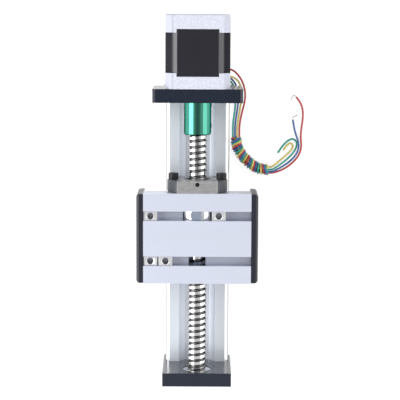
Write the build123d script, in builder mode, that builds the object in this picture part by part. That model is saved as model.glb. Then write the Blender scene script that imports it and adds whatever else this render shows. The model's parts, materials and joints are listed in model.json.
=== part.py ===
from build123d import *
import math
import os

os.makedirs("parts", exist_ok=True)

# Driving dimensions in millimetres.
# X is across the actuator, Y runs along the screw towards the motor, Z is up from the table.

# Layout along the screw
span = 180.5
end_plate_thickness = 9.0
motor_plate_thickness = 9.0
screw_height = 40.0
carriage_distance = 90.65

# Base extrusion and its two inlaid guide rods
base_width = 38.8
base_height = 20.0
channel_mouth = 24.6
channel_floor = 16.4
channel_depth = 6.0
base_edge = 0.6
rod_radius = 3.0
rod_height = 15.5
rod_stand_out = 2.1
base_hole_spacing_x = 24.0
base_hole_spacing_y = 150.0
base_hole_radius = 2.1
base_hole_depth = 10.0

# End plate and motor plate
end_plate_width = 46.0
end_plate_rise = 15.0
motor_plate_width = 59.0
motor_plate_stem = 46.0
motor_plate_rise = 20.0
motor_plate_wing_bottom = 19.0
motor_plate_chamfer = 1.8
plate_edge = 0.5
plate_screw_side_gap = 3.7
plate_screw_z = 5.8
plate_screw_mid_z = 8.6
plate_screw_radius = 2.0
plate_screw_head_radius = 3.5
plate_screw_head = 4.0
plate_screw_reach = 12.0

# Screw, its bearing in the end plate and its nut
screw_radius = 6.0
screw_tail_inset = 1.0
journal_radius = 5.0
coupling_journal_radius = 4.0
bearing_radius = 9.5
bearing_bore = 5.0
bearing_width = 5.0
bearing_inset = 0.4
bearing_ring_wall = 1.3
bearing_ball_radius = 0.85
bearing_ball_count = 10
shield_thickness = 0.3
relief_radius = 7.0
circlip_thickness = 1.0
circlip_radius = 6.6
circlip_groove_depth = 0.5
circlip_opening = 3.3
nut_radius = 12.0
nut_length = 40.0
flange_radius = 20.0
flange_thickness = 8.2
flange_across_flats = 30.0
flange_bolt_circle = 16.0
flange_hole_radius = 2.25
flange_edge = 0.6
oil_hole_radius = 1.4
oil_hole_distance = 5.9
wiper_radius = 8.6
wiper_width = 3.0
wiper_gap = 0.3
plug_radius = 3.75
plug_depth = 2.5
plug_distance = 14.9
plug_offset = -0.7
nut_screw_radius = 2.0
nut_screw_head_radius = 3.5
nut_screw_head = 4.0
nut_screw_reach = 9.0

# Coupling
coupling_radius = 9.0
coupling_length = 25.0
coupling_to_motor = 6.0
coupling_edge = 0.6
set_screw_radius = 1.5
set_screw_inset = 5.85
set_screw_stand_out = 0.2

# Carriage
carriage_width = 71.2
carriage_length = 60.0
table_above_screw = 15.0
carriage_thickness = 15.5
leg_half_width = 20.0
leg_depth = 15.0
leg_chamfer = 3.0
nut_bore_radius = 12.8
screw_bore_radius = 10.2
nut_bore_spare = 1.0
slot_pitch = 30.0
slot_mouth = 6.3
slot_lip = 2.2
slot_width = 10.4
slot_depth = 6.5
cap_thickness = 4.6
cap_depth = 32.0
cap_corner = 2.2
cap_edge = 0.8
cap_shortfall = 0.6
cap_screw_inset = 4.5
cap_screw_z = 8.0
cap_screw_radius = 1.5
cap_screw_head_radius = 2.9
cap_screw_reach = 8.0
t_nut_length = 9.0
t_nut_radius = 2.1
t_nut_base = 3.8
t_nut_top_drop = 0.8
t_nut_side_gap = 0.2
t_nut_places = [(-30.9, 0.5), (14.2, 0.5), (-30.9, -0.5), (-20.9, -0.5)]

# Grooved rollers on shoulder screws
roller_pitch_radius = 6.1
roller_inset = 13.5
roller_radius = 7.5
roller_width = 7.6
roller_core_radius = 4.0
roller_core_width = 8.2
roller_screw_radius = 2.5
roller_head_radius = 4.4
roller_head = 2.2
roller_screw_reach = 6.0
spacer_radius = 4.0

# Stepper motor
motor_size = 42.3
motor_length = 48.0
bell_corner = 4.3
stack_circle = 25.05
front_bell = 8.0
rear_bell = 9.3
bell_tab = 2.3
boss_radius = 11.0
boss_height = 2.0
stator_bore = 13.2
winding_radius = 18.0
tooth_count = 8
tooth_width = 4.4
tooth_shoe = 1.2
coil_wall = 1.9
coil_back_gap = 0.6
tooth_root = 1.0
rotor_radius = 12.9
rotor_end_gap = 2.0
shaft_radius = 2.5
shaft_reach = 24.0
shaft_tail = 3.0
shaft_hole_gap = 1.0
motor_bearing_radius = 8.0
motor_bearing_width = 5.0
bell_wall = 2.0
bell_cavity = 3.0
motor_hole_spacing = 31.0
motor_screw_radius = 1.5
motor_screw_head_radius = 2.75
motor_screw_head = 3.0
mount_screw_reach = 3.6

# Motor leads
lead_radius = 0.675
lead_exit_x = 10.8
lead_exit_y = 5.7
grommet_width = 5.6
grommet_depth = 4.2
grommet_corner = 1.0
grommet_stand_out = 1.0
grommet_seat = 3.0
bundle_radius = 4.15
tip_radius = 0.3

# Fits and clearances
press_clearance = 0.02
running_clearance = 0.05
small_gap = 0.2
hole_spare = 1.0
nut_running_clearance = 0.08
roller_groove_gap = 0.25

# Places worked out from the sizes above
motor_half = motor_size / 2
total_length = end_plate_thickness + span + motor_plate_thickness + motor_length
end_outer = -total_length / 2
end_inner = end_outer + end_plate_thickness
plate_front = end_inner + span
motor_face = plate_front + motor_plate_thickness
motor_rear = motor_face + motor_length
carriage_y = end_inner + carriage_distance
carriage_front = carriage_y + carriage_length / 2
carriage_back = carriage_y - carriage_length / 2
carriage_top = screw_height + table_above_screw
carriage_under = carriage_top - carriage_thickness
slot_floor = carriage_top - slot_depth
rod_x = base_width / 2 + rod_stand_out - rod_radius
plate_screw_x = base_width / 2 - plate_screw_side_gap
roller_axis_x = rod_x + rod_radius + roller_pitch_radius
roller_axis_y = carriage_length / 2 - roller_inset
cap_screw_y = carriage_length / 2 - cap_screw_inset
coupling_end = motor_face - coupling_to_motor
coupling_start = coupling_end - coupling_length
shaft_end = motor_face - shaft_reach
flange_front = carriage_front + flange_thickness
nut_back = flange_front - nut_length
stack_front = motor_face + front_bell
stack_rear = motor_rear - rear_bell
bearing_front = end_inner - bearing_inset
bearing_back = bearing_front - bearing_width
hole_half = motor_hole_spacing / 2


def across(y):
    """Plane across the screw at y, drawn in X and Z; a negative extrusion goes towards the motor."""
    return Plane.XZ.offset(-y)


def around(y, radius_from_axis=0.0, angle=0.0):
    """Plane at y whose normal points away from the screw axis at an angle from +X."""
    turn = math.radians(angle)
    away = Vector(math.cos(turn), 0, math.sin(turn))
    return Plane(origin=Vector(0, y, screw_height) + away * radius_from_axis, z_dir=away)


def save(part, name):
    """Label a finished piece and write it."""
    part.label = name
    export_step(part, f"parts/{name}.step")
    print(f"{name}: {part.volume:.1f} mm3")


def cylinder_along(y_low, y_high, radius, places=((0.0, screw_height),)):
    """Round bars along Y at places given in X and Z."""
    with BuildPart() as bar:
        with BuildSketch(across(y_low)):
            with Locations(*places):
                Circle(radius)
        extrude(amount=y_low - y_high)
    return bar.part


def ring_along(y_low, y_high, outer, inner):
    """A plain ring on the screw axis."""
    with BuildPart() as ring:
        with BuildSketch(across(y_low)):
            with Locations((0, screw_height)):
                Circle(outer)
                Circle(inner, mode=Mode.SUBTRACT)
        extrude(amount=y_low - y_high)
    return ring.part


def cap_screws_along(y_head, direction, places, radius, head_radius, head, reach):
    """Cap screws along Y whose heads sit at y_head and whose shanks run in the given direction."""
    with BuildPart() as screws:
        with BuildSketch(across(y_head)):
            with Locations(*places):
                Circle(head_radius)
        extrude(amount=direction * head)
        with BuildSketch(across(y_head)):
            with Locations(*places):
                Circle(radius)
        extrude(amount=-direction * reach)
    return screws.part


# Base: a flat extrusion with a shallow channel under the screw and a round groove in each side
plate_screw_places = [
    (-plate_screw_x, plate_screw_z), (0.0, plate_screw_mid_z), (plate_screw_x, plate_screw_z)
]
with BuildPart() as base:
    with BuildSketch(across(end_inner)) as base_section:
        with BuildLine():
            Polyline(
                (0, 0), (base_width / 2, 0), (base_width / 2, base_height),
                (channel_mouth / 2, base_height),
                (channel_floor / 2, base_height - channel_depth), (0, base_height - channel_depth),
            )
            mirror(about=Plane.YZ)
        make_face()
        outer_corners = base_section.vertices().group_by(Axis.X)
        fillet(outer_corners[0] + outer_corners[-1], radius=base_edge)
        with Locations((-rod_x, rod_height), (rod_x, rod_height)):
            Circle(rod_radius + press_clearance, mode=Mode.SUBTRACT)
    extrude(amount=-span)
    for end_y, sign in ((end_inner, -1), (plate_front, 1)):
        with BuildSketch(across(end_y)):
            with Locations(*plate_screw_places):
                Circle(plate_screw_radius + press_clearance)
        extrude(amount=sign * (plate_screw_reach + hole_spare), mode=Mode.SUBTRACT)
    with BuildSketch(Plane.XY):
        with Locations((0, (end_inner + plate_front) / 2)):
            with GridLocations(base_hole_spacing_x, base_hole_spacing_y, 2, 2):
                Circle(base_hole_radius)
    extrude(amount=base_hole_depth, mode=Mode.SUBTRACT)
save(base.part, "base_extrusion")

for side, sign in (("left", -1), ("right", 1)):
    rod = cylinder_along(end_inner, plate_front, rod_radius, [(sign * rod_x, rod_height)])
    save(rod, f"guide_rod_{side}")


# End plate with the bearing pocket
head_pocket = plate_screw_head + small_gap
with BuildPart() as end_plate:
    with BuildSketch(across(end_outer)):
        with Locations((0, (screw_height + end_plate_rise) / 2)):
            Rectangle(end_plate_width, screw_height + end_plate_rise)
        with Locations((0, screw_height)):
            Circle(relief_radius, mode=Mode.SUBTRACT)
        with Locations(*plate_screw_places):
            Circle(plate_screw_radius + small_gap, mode=Mode.SUBTRACT)
    extrude(amount=-end_plate_thickness)
    outline = end_plate.edges().filter_by(Axis.Y).filter_by(GeomType.LINE)
    chamfer(outline.group_by(Axis.Z)[-1], length=plate_edge)
    with BuildSketch(across(bearing_back)):
        with Locations((0, screw_height)):
            Circle(bearing_radius + press_clearance)
    extrude(amount=bearing_back - end_inner, mode=Mode.SUBTRACT)
    with BuildSketch(across(end_outer)):
        with Locations(*plate_screw_places):
            Circle(plate_screw_head_radius + small_gap)
    extrude(amount=-head_pocket, mode=Mode.SUBTRACT)
save(end_plate.part, "end_plate")

end_screws = cap_screws_along(
    end_outer + head_pocket, 1, plate_screw_places, plate_screw_radius,
    plate_screw_head_radius, plate_screw_head, end_plate_thickness - head_pocket + plate_screw_reach,
)
save(end_screws, "end_plate_screws")

# Motor plate: wide where the motor sits, narrow below so that the leads pass beside the base
motor_plate_top = screw_height + motor_plate_rise
motor_screw_places = [
    (x, screw_height + z) for x in (-hole_half, hole_half) for z in (-hole_half, hole_half)
]
mount_head_pocket = motor_screw_head + small_gap
with BuildPart() as motor_plate:
    with BuildSketch(across(plate_front)):
        with BuildLine():
            Polyline(
                (0, 0), (motor_plate_stem / 2, 0), (motor_plate_stem / 2, motor_plate_wing_bottom),
                (motor_plate_width / 2, motor_plate_wing_bottom),
                (motor_plate_width / 2, motor_plate_top), (0, motor_plate_top),
            )
            mirror(about=Plane.YZ)
        make_face()
        with Locations((0, screw_height)):
            Circle(boss_radius + running_clearance, mode=Mode.SUBTRACT)
        with Locations(*motor_screw_places):
            Circle(motor_screw_radius + small_gap, mode=Mode.SUBTRACT)
        with Locations(*plate_screw_places):
            Circle(plate_screw_radius + small_gap, mode=Mode.SUBTRACT)
    extrude(amount=-motor_plate_thickness)
    upper_rims = motor_plate.edges().filter_by(Axis.Y).group_by(Axis.Z)[-1].sort_by(Axis.X)
    chamfer([upper_rims[0], upper_rims[-1]], length=motor_plate_chamfer)
    with BuildSketch(across(plate_front)):
        with Locations(*motor_screw_places):
            Circle(motor_screw_head_radius + small_gap)
    extrude(amount=-mount_head_pocket, mode=Mode.SUBTRACT)
    with BuildSketch(across(motor_face)):
        with Locations(*plate_screw_places):
            Circle(plate_screw_head_radius + small_gap)
    extrude(amount=head_pocket, mode=Mode.SUBTRACT)
save(motor_plate.part, "motor_plate")

plate_screws = cap_screws_along(
    motor_face - head_pocket, -1, plate_screw_places, plate_screw_radius,
    plate_screw_head_radius, plate_screw_head, motor_plate_thickness - head_pocket + plate_screw_reach,
)
save(plate_screws, "motor_plate_screws")

mount_screws = cap_screws_along(
    plate_front + mount_head_pocket, 1, motor_screw_places, motor_screw_radius,
    motor_screw_head_radius, motor_screw_head,
    motor_plate_thickness - mount_head_pocket + mount_screw_reach,
)
save(mount_screws, "motor_mount_screws")


# Bearing in the end plate
ring_inner = bearing_radius - bearing_ring_wall
race_outer = bearing_bore + bearing_ring_wall
pitch_radius = (ring_inner + race_outer) / 2
save(ring_along(bearing_back, bearing_front, bearing_radius, ring_inner), "bearing_outer_ring")
save(
    ring_along(bearing_back, bearing_front, race_outer, bearing_bore + press_clearance),
    "bearing_inner_ring",
)

with BuildPart() as balls:
    with Locations(Plane(
        origin=(0, (bearing_front + bearing_back) / 2, screw_height), z_dir=(0, 1, 0)
    )):
        with PolarLocations(pitch_radius, bearing_ball_count):
            Sphere(bearing_ball_radius)
save(balls.part, "bearing_balls")

with BuildPart() as shields:
    for shield_y in (bearing_back, bearing_front - shield_thickness):
        with BuildSketch(across(shield_y)):
            with Locations((0, screw_height)):
                Circle(ring_inner)
                Circle(race_outer + small_gap, mode=Mode.SUBTRACT)
        extrude(amount=-shield_thickness)
save(shields.part, "bearing_shields")

circlip_front = bearing_back - running_clearance
circlip_groove = journal_radius - circlip_groove_depth
with BuildPart() as circlip:
    with BuildSketch(across(circlip_front)):
        with Locations((0, screw_height)):
            Circle(circlip_radius)
            Circle(circlip_groove + press_clearance, mode=Mode.SUBTRACT)
        with Locations((0, screw_height + circlip_radius)):
            Rectangle(circlip_opening, circlip_radius, mode=Mode.SUBTRACT)
    extrude(amount=circlip_thickness)
save(circlip.part, "screw_circlip")


# Screw: turned outline; the rolled thread is shown on the finished model's surface
screw_tail = end_outer + screw_tail_inset
groove_low = circlip_front - circlip_thickness - running_clearance
thread_end = coupling_start - small_gap
journal_end = shaft_end - small_gap
with BuildPart() as screw:
    with BuildSketch(Plane.XY.offset(screw_height)):
        with BuildLine():
            Polyline(
                (0, screw_tail), (journal_radius - plate_edge, screw_tail),
                (journal_radius, screw_tail + plate_edge), (journal_radius, groove_low),
                (circlip_groove, groove_low), (circlip_groove, circlip_front),
                (journal_radius, circlip_front), (journal_radius, bearing_front),
                (screw_radius, bearing_front), (screw_radius, thread_end - plate_edge),
                (screw_radius - plate_edge, thread_end), (coupling_journal_radius, thread_end),
                (coupling_journal_radius, journal_end), (0, journal_end), close=True,
            )
        make_face()
    revolve(axis=Axis((0, 0, screw_height), (0, 1, 0)))
save(screw.part, "ball_screw")


# Coupling: one turned sleeve with two bores and four set screws
set_screw_rows = (
    (coupling_start + set_screw_inset, coupling_journal_radius),
    (coupling_end - set_screw_inset, shaft_radius),
)
with BuildPart() as coupling:
    with BuildSketch(across(coupling_start)):
        with Locations((0, screw_height)):
            Circle(coupling_radius)
    extrude(amount=-coupling_length)
    rims = coupling.edges().filter_by(GeomType.CIRCLE)
    chamfer(rims, length=coupling_edge)
    with BuildSketch(across(coupling_start)):
        with Locations((0, screw_height)):
            Circle(coupling_journal_radius + press_clearance)
    extrude(amount=coupling_start - shaft_end, mode=Mode.SUBTRACT)
    with BuildSketch(across(shaft_end)):
        with Locations((0, screw_height)):
            Circle(shaft_radius + press_clearance)
    extrude(amount=shaft_end - coupling_end, mode=Mode.SUBTRACT)
    for row_y, _ in set_screw_rows:
        for angle in (0, -90):
            with BuildSketch(around(row_y, 0, angle)):
                Circle(set_screw_radius + press_clearance)
            extrude(amount=coupling_radius, mode=Mode.SUBTRACT)
save(coupling.part, "coupling")

with BuildPart() as set_screws:
    for row_y, shaft in set_screw_rows:
        for angle in (0, -90):
            with BuildSketch(around(row_y, shaft + running_clearance, angle)):
                Circle(set_screw_radius)
            extrude(amount=coupling_radius + set_screw_stand_out - shaft - running_clearance)
save(set_screws.part, "coupling_set_screws")


# Ball nut: flanged round nut, flange cut flat above and below
nut_mount_angles = (0, 180)
nut_hole_angles = nut_mount_angles + (45, 135, -45, -135)


def on_bolt_circle(angles):
    """Places in X and Z on the nut's bolt circle."""
    places = []
    for angle in angles:
        turn = math.radians(angle)
        offset_x = flange_bolt_circle * math.cos(turn)
        offset_z = flange_bolt_circle * math.sin(turn)
        places.append((offset_x, screw_height + offset_z))
    return places


nut_bore = screw_radius + nut_running_clearance
plug_y = carriage_front - plug_distance
with BuildPart() as nut:
    with BuildSketch(across(carriage_front)):
        with Locations((0, screw_height)):
            Circle(flange_radius)
            Rectangle(flange_radius * 2, flange_across_flats, mode=Mode.INTERSECT)
        with Locations(*on_bolt_circle(nut_hole_angles)):
            Circle(flange_hole_radius, mode=Mode.SUBTRACT)
    extrude(amount=-flange_thickness)
    flange_rims = nut.edges().filter_by(GeomType.CIRCLE)
    rim_arcs = flange_rims.filter_by(lambda edge: edge.radius > flange_bolt_circle)
    chamfer(rim_arcs, length=flange_edge)
    with BuildSketch(across(nut_back)):
        with Locations((0, screw_height)):
            Circle(nut_radius)
    extrude(amount=nut_back - carriage_front)
    tail_rim = nut.edges().filter_by(GeomType.CIRCLE).group_by(Axis.Y)[0]
    chamfer(tail_rim, length=flange_edge)
    with BuildSketch(across(nut_back)):
        with Locations((0, screw_height)):
            Circle(nut_bore)
    extrude(amount=-nut_length, mode=Mode.SUBTRACT)
    for seat_y, sign in ((nut_back, -1), (flange_front, 1)):
        with BuildSketch(across(seat_y)):
            with Locations((0, screw_height)):
                Circle(wiper_radius)
        extrude(amount=sign * wiper_width, mode=Mode.SUBTRACT)
    oil_y = carriage_front + oil_hole_distance
    with BuildSketch(Plane.XY.offset(screw_height)):
        with Locations((0, oil_y)):
            Circle(oil_hole_radius)
    extrude(amount=flange_radius, mode=Mode.SUBTRACT)
    with BuildSketch(Plane.XY.offset(screw_height + nut_radius - plug_depth)):
        with Locations((plug_offset, plug_y)):
            Circle(plug_radius + press_clearance)
    extrude(amount=plug_depth, mode=Mode.SUBTRACT)
save(nut.part, "ball_nut")

with BuildPart() as wipers:
    for ring_y in (nut_back, flange_front - wiper_width):
        with BuildSketch(across(ring_y)):
            with Locations((0, screw_height)):
                Circle(wiper_radius - press_clearance)
                Circle(screw_radius + wiper_gap, mode=Mode.SUBTRACT)
        extrude(amount=-wiper_width)
save(wipers.part, "nut_wipers")

with BuildPart() as plug:
    with BuildSketch(Plane.XY.offset(screw_height + nut_radius - plug_depth)):
        with Locations((plug_offset, plug_y)):
            Circle(plug_radius)
    extrude(amount=plug_depth)
    chamfer(plug.faces().sort_by(Axis.Z)[-1].edges(), length=plate_edge / 2)
save(plug.part, "ball_return_plug")

nut_screws = cap_screws_along(
    flange_front, -1, on_bolt_circle(nut_mount_angles), nut_screw_radius,
    nut_screw_head_radius, nut_screw_head, flange_thickness + nut_screw_reach,
)
save(nut_screws, "nut_flange_screws")


# Carriage: slotted table with a thick rib that carries the nut
slot_rows = (carriage_y + slot_pitch / 2, carriage_y - slot_pitch / 2)
roller_places = [
    (x, carriage_y + y)
    for x, y in (
        (-roller_axis_x, roller_axis_y), (roller_axis_x, roller_axis_y),
        (-roller_axis_x, -roller_axis_y), (roller_axis_x, -roller_axis_y),
    )
]
cap_screw_places = [
    (carriage_y - cap_screw_y, carriage_top - cap_screw_z),
    (carriage_y + cap_screw_y, carriage_top - cap_screw_z),
]


def slot_section(row_y):
    """Half outline of a T-slot, drawn in Y and Z and mirrored."""
    return [
        (row_y - slot_mouth / 2, carriage_top), (row_y - slot_mouth / 2, carriage_top - slot_lip),
        (row_y - slot_width / 2, carriage_top - slot_lip), (row_y - slot_width / 2, slot_floor),
        (row_y + slot_width / 2, slot_floor), (row_y + slot_width / 2, carriage_top - slot_lip),
        (row_y + slot_mouth / 2, carriage_top - slot_lip), (row_y + slot_mouth / 2, carriage_top),
    ]


with BuildPart() as table:
    with BuildSketch(across(carriage_back)):
        with BuildLine():
            Polyline(
                (0, carriage_top), (carriage_width / 2, carriage_top),
                (carriage_width / 2, carriage_under), (leg_half_width, carriage_under),
                (leg_half_width, carriage_under - leg_depth + leg_chamfer),
                (leg_half_width - leg_chamfer, carriage_under - leg_depth),
                (0, carriage_under - leg_depth),
            )
            mirror(about=Plane.YZ)
        make_face()
    extrude(amount=-carriage_length)
    for row_y in slot_rows:
        with BuildSketch(Plane.YZ.offset(-carriage_width / 2)):
            with BuildLine():
                Polyline(*slot_section(row_y), close=True)
            make_face()
        extrude(amount=carriage_width, mode=Mode.SUBTRACT)
    with BuildSketch(across(carriage_back)):
        with Locations((0, screw_height)):
            Circle(screw_bore_radius)
    extrude(amount=-carriage_length, mode=Mode.SUBTRACT)
    with BuildSketch(across(carriage_front)):
        with Locations((0, screw_height)):
            Circle(nut_bore_radius)
    extrude(amount=carriage_front - nut_back + nut_bore_spare, mode=Mode.SUBTRACT)
    with BuildSketch(across(carriage_front)):
        with Locations(*on_bolt_circle(nut_mount_angles)):
            Circle(nut_screw_radius + press_clearance)
    extrude(amount=nut_screw_reach + hole_spare, mode=Mode.SUBTRACT)
    with BuildSketch(Plane.XY.offset(carriage_under)):
        with Locations(*roller_places):
            Circle(roller_screw_radius + press_clearance)
    extrude(amount=roller_screw_reach + hole_spare, mode=Mode.SUBTRACT)
    for sign in (-1, 1):
        with BuildSketch(Plane.YZ.offset(sign * carriage_width / 2)):
            with Locations(*cap_screw_places):
                Circle(cap_screw_radius + press_clearance)
        extrude(amount=-sign * (cap_screw_reach + hole_spare), mode=Mode.SUBTRACT)
save(table.part, "carriage_plate")

cap_bottom = carriage_top - cap_depth
cap_length = carriage_length - cap_shortfall
cap_outer = carriage_width / 2 + cap_thickness
cap_hole_radius = cap_screw_radius + small_gap
for side, sign in (("left", -1), ("right", 1)):
    with BuildPart() as cap:
        with BuildSketch(Plane.YZ.offset(sign * carriage_width / 2)):
            with Locations((carriage_y, (carriage_top + cap_bottom) / 2)):
                RectangleRounded(cap_length, cap_depth, cap_edge)
        extrude(amount=sign * cap_thickness)
        outer_edges = cap.edges().filter_by(Axis.Z).group_by(Axis.X)
        fillet(outer_edges[-1] if sign > 0 else outer_edges[0], radius=cap_corner)
        for hole_y, hole_z in cap_screw_places:
            mouth = Plane(origin=(sign * cap_outer, hole_y, hole_z), z_dir=(sign, 0, 0))
            with Locations(mouth):
                CounterSinkHole(
                    radius=cap_hole_radius, counter_sink_radius=cap_screw_head_radius + small_gap,
                    depth=cap_thickness, counter_sink_angle=90,
                )
    save(cap.part, f"end_cap_{side}")

head_taper = cap_screw_head_radius - cap_screw_radius
with BuildPart() as cap_screws:
    for sign in (-1, 1):
        head_x = sign * (cap_outer - small_gap)
        neck_x = head_x - sign * head_taper
        for hole_y, hole_z in cap_screw_places:
            with BuildSketch(Plane.YZ.offset(head_x)):
                with Locations((hole_y, hole_z)):
                    Circle(cap_screw_head_radius)
            with BuildSketch(Plane.YZ.offset(neck_x)):
                with Locations((hole_y, hole_z)):
                    Circle(cap_screw_radius)
            loft()
        with BuildSketch(Plane.YZ.offset(neck_x)):
            with Locations(*cap_screw_places):
                Circle(cap_screw_radius)
        extrude(amount=-sign * (cap_thickness - small_gap - head_taper + cap_screw_reach))
save(cap_screws.part, "cap_screws")

# Slot nuts
for number, (nut_x, row) in enumerate(t_nut_places, start=1):
    row_y = carriage_y + row * slot_pitch
    half_base = slot_width / 2 - t_nut_side_gap
    half_neck = slot_mouth / 2 - t_nut_side_gap
    nut_floor = slot_floor + small_gap
    with BuildPart() as slot_nut:
        with BuildSketch(Plane.YZ.offset(nut_x - t_nut_length / 2)):
            with BuildLine():
                Polyline(
                    (row_y - half_base, nut_floor), (row_y + half_base, nut_floor),
                    (row_y + half_base, nut_floor + t_nut_base),
                    (row_y + half_neck, nut_floor + t_nut_base),
                    (row_y + half_neck, carriage_top - t_nut_top_drop),
                    (row_y - half_neck, carriage_top - t_nut_top_drop),
                    (row_y - half_neck, nut_floor + t_nut_base),
                    (row_y - half_base, nut_floor + t_nut_base), close=True,
                )
            make_face()
        extrude(amount=t_nut_length)
        with BuildSketch(Plane.XY.offset(slot_floor)):
            with Locations((nut_x, row_y)):
                Circle(t_nut_radius)
        extrude(amount=slot_depth, mode=Mode.SUBTRACT)
    save(slot_nut.part, f"t_nut_{number}")


# Rollers: grooved wheels that run on the rods, each on a core, a spacer and a shoulder screw
groove_radius = rod_radius + roller_groove_gap
groove_centre = roller_axis_x - rod_x
wheel_bore = roller_core_radius + running_clearance
groove_mouth = math.sqrt(groove_radius ** 2 - (groove_centre - roller_radius) ** 2)
for number, (wheel_x, wheel_y) in enumerate(roller_places, start=1):
    with BuildPart() as wheel:
        with BuildSketch(Plane((wheel_x, wheel_y, rod_height), x_dir=(1, 0, 0), z_dir=(0, -1, 0))):
            with BuildLine():
                Polyline(
                    (roller_radius, groove_mouth), (roller_radius, roller_width / 2),
                    (wheel_bore, roller_width / 2), (wheel_bore, -roller_width / 2),
                    (roller_radius, -roller_width / 2), (roller_radius, -groove_mouth),
                )
                ThreePointArc(
                    (roller_radius, -groove_mouth), (groove_centre - groove_radius, 0),
                    (roller_radius, groove_mouth),
                )
            make_face()
        revolve(axis=Axis((wheel_x, wheel_y, 0), (0, 0, 1)))
    save(wheel.part, f"roller_wheel_{number}")

core_low = rod_height - roller_core_width / 2
core_high = rod_height + roller_core_width / 2
stud_hole = roller_screw_radius + running_clearance


def upright_rings(z_low, z_high, outer, inner):
    """Four upright rings, one on each roller's axis."""
    with BuildPart() as rings:
        with BuildSketch(Plane.XY.offset(z_low)):
            with Locations(*roller_places):
                Circle(outer)
            with Locations(*roller_places):
                Circle(inner, mode=Mode.SUBTRACT)
        extrude(amount=z_high - z_low)
    return rings.part


save(upright_rings(core_low, core_high, roller_core_radius, stud_hole), "roller_cores")
save(upright_rings(core_high, carriage_under, spacer_radius, stud_hole), "roller_spacers")

with BuildPart() as roller_screws:
    with BuildSketch(Plane.XY.offset(core_low - roller_head)):
        with Locations(*roller_places):
            Circle(roller_head_radius)
    extrude(amount=roller_head)
    head_rims = roller_screws.edges().filter_by(GeomType.CIRCLE).group_by(Axis.Z)[0]
    chamfer(head_rims, length=plate_edge)
    with BuildSketch(Plane.XY.offset(core_low)):
        with Locations(*roller_places):
            Circle(roller_screw_radius)
    extrude(amount=carriage_under - core_low + roller_screw_reach)
save(roller_screws.part, "roller_screws")


# Motor: two cast end bells clamp the black lamination stack
def make_bell(outer_y, inner_y, tab_y, wall_side):
    """One end bell, from its outer face to the stack, with corner tabs that reach over the stack."""
    depth = outer_y - inner_y
    with BuildPart() as bell:
        with BuildSketch(across(outer_y)) as outline_sketch:
            with Locations((0, screw_height)):
                Rectangle(motor_size, motor_size)
            chamfer(outline_sketch.vertices(), length=bell_corner)
        extrude(amount=depth)
        with BuildSketch(across(inner_y)) as tab_sketch:
            with Locations((0, screw_height)):
                Rectangle(motor_size, motor_size)
            chamfer(tab_sketch.vertices(), length=bell_corner)
            with Locations((0, screw_height)):
                Circle(stack_circle + small_gap, mode=Mode.SUBTRACT)
        extrude(amount=inner_y - tab_y)
        with BuildSketch(across(inner_y)):
            with Locations((0, screw_height)):
                Circle(winding_radius)
        extrude(amount=-wall_side * bell_cavity, mode=Mode.SUBTRACT)
        with BuildSketch(across(inner_y)):
            with Locations((0, screw_height)):
                Circle(motor_bearing_radius + press_clearance)
        extrude(amount=-wall_side * (abs(depth) - bell_wall), mode=Mode.SUBTRACT)
        with BuildSketch(across(outer_y)):
            with Locations(*motor_screw_places):
                Circle(motor_screw_radius + press_clearance)
        extrude(amount=depth, mode=Mode.SUBTRACT)
    return bell.part


front_bell_body = make_bell(motor_face, stack_front, stack_front + bell_tab, -1)
rear_bell_body = make_bell(motor_rear, stack_rear, stack_rear - bell_tab, 1)
grommet_y = motor_face + lead_exit_y
motor_bottom = screw_height - motor_half
bell_window = winding_radius * math.cos(math.asin(lead_exit_x / winding_radius))
with BuildPart() as front_bell_part:
    add(front_bell_body)
    with BuildSketch(across(motor_face)):
        with Locations((0, screw_height)):
            Circle(boss_radius)
    extrude(amount=boss_height)
    with BuildSketch(across(motor_face - boss_height)):
        with Locations((0, screw_height)):
            Circle(shaft_radius + shaft_hole_gap)
    extrude(amount=-(boss_height + bell_wall + small_gap), mode=Mode.SUBTRACT)
    with BuildSketch(Plane.XY.offset(motor_bottom)):
        with Locations((lead_exit_x, grommet_y)):
            RectangleRounded(grommet_width, grommet_depth, grommet_corner)
    extrude(amount=motor_half - bell_window, mode=Mode.SUBTRACT)
save(front_bell_part.part, "motor_front_bell")

with BuildPart() as rear_bell_part:
    add(rear_bell_body)
    with BuildSketch(across(motor_rear)):
        with Locations(*motor_screw_places):
            Circle(motor_screw_head_radius + small_gap)
    extrude(amount=mount_head_pocket, mode=Mode.SUBTRACT)
    rear_face = rear_bell_part.faces().sort_by(Axis.Y)[-1]
    chamfer(rear_face.outer_wire().edges(), length=plate_edge)
save(rear_bell_part.part, "motor_rear_bell")

with BuildPart() as stack:
    with BuildSketch(across(stack_front)):
        with Locations((0, screw_height)):
            Circle(stack_circle)
            Rectangle(motor_size, motor_size, mode=Mode.INTERSECT)
            Circle(winding_radius, mode=Mode.SUBTRACT)
            with PolarLocations((winding_radius + stator_bore) / 2, tooth_count):
                Rectangle(winding_radius - stator_bore + tooth_root, tooth_width)
            with PolarLocations(stator_bore + tooth_shoe / 2, tooth_count):
                Rectangle(tooth_shoe, tooth_width + 2 * coil_wall)
            Circle(stator_bore, mode=Mode.SUBTRACT)
        with Locations(*motor_screw_places):
            Circle(motor_screw_radius + small_gap, mode=Mode.SUBTRACT)
    extrude(amount=stack_front - stack_rear)
save(stack.part, "stator_stack")

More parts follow.
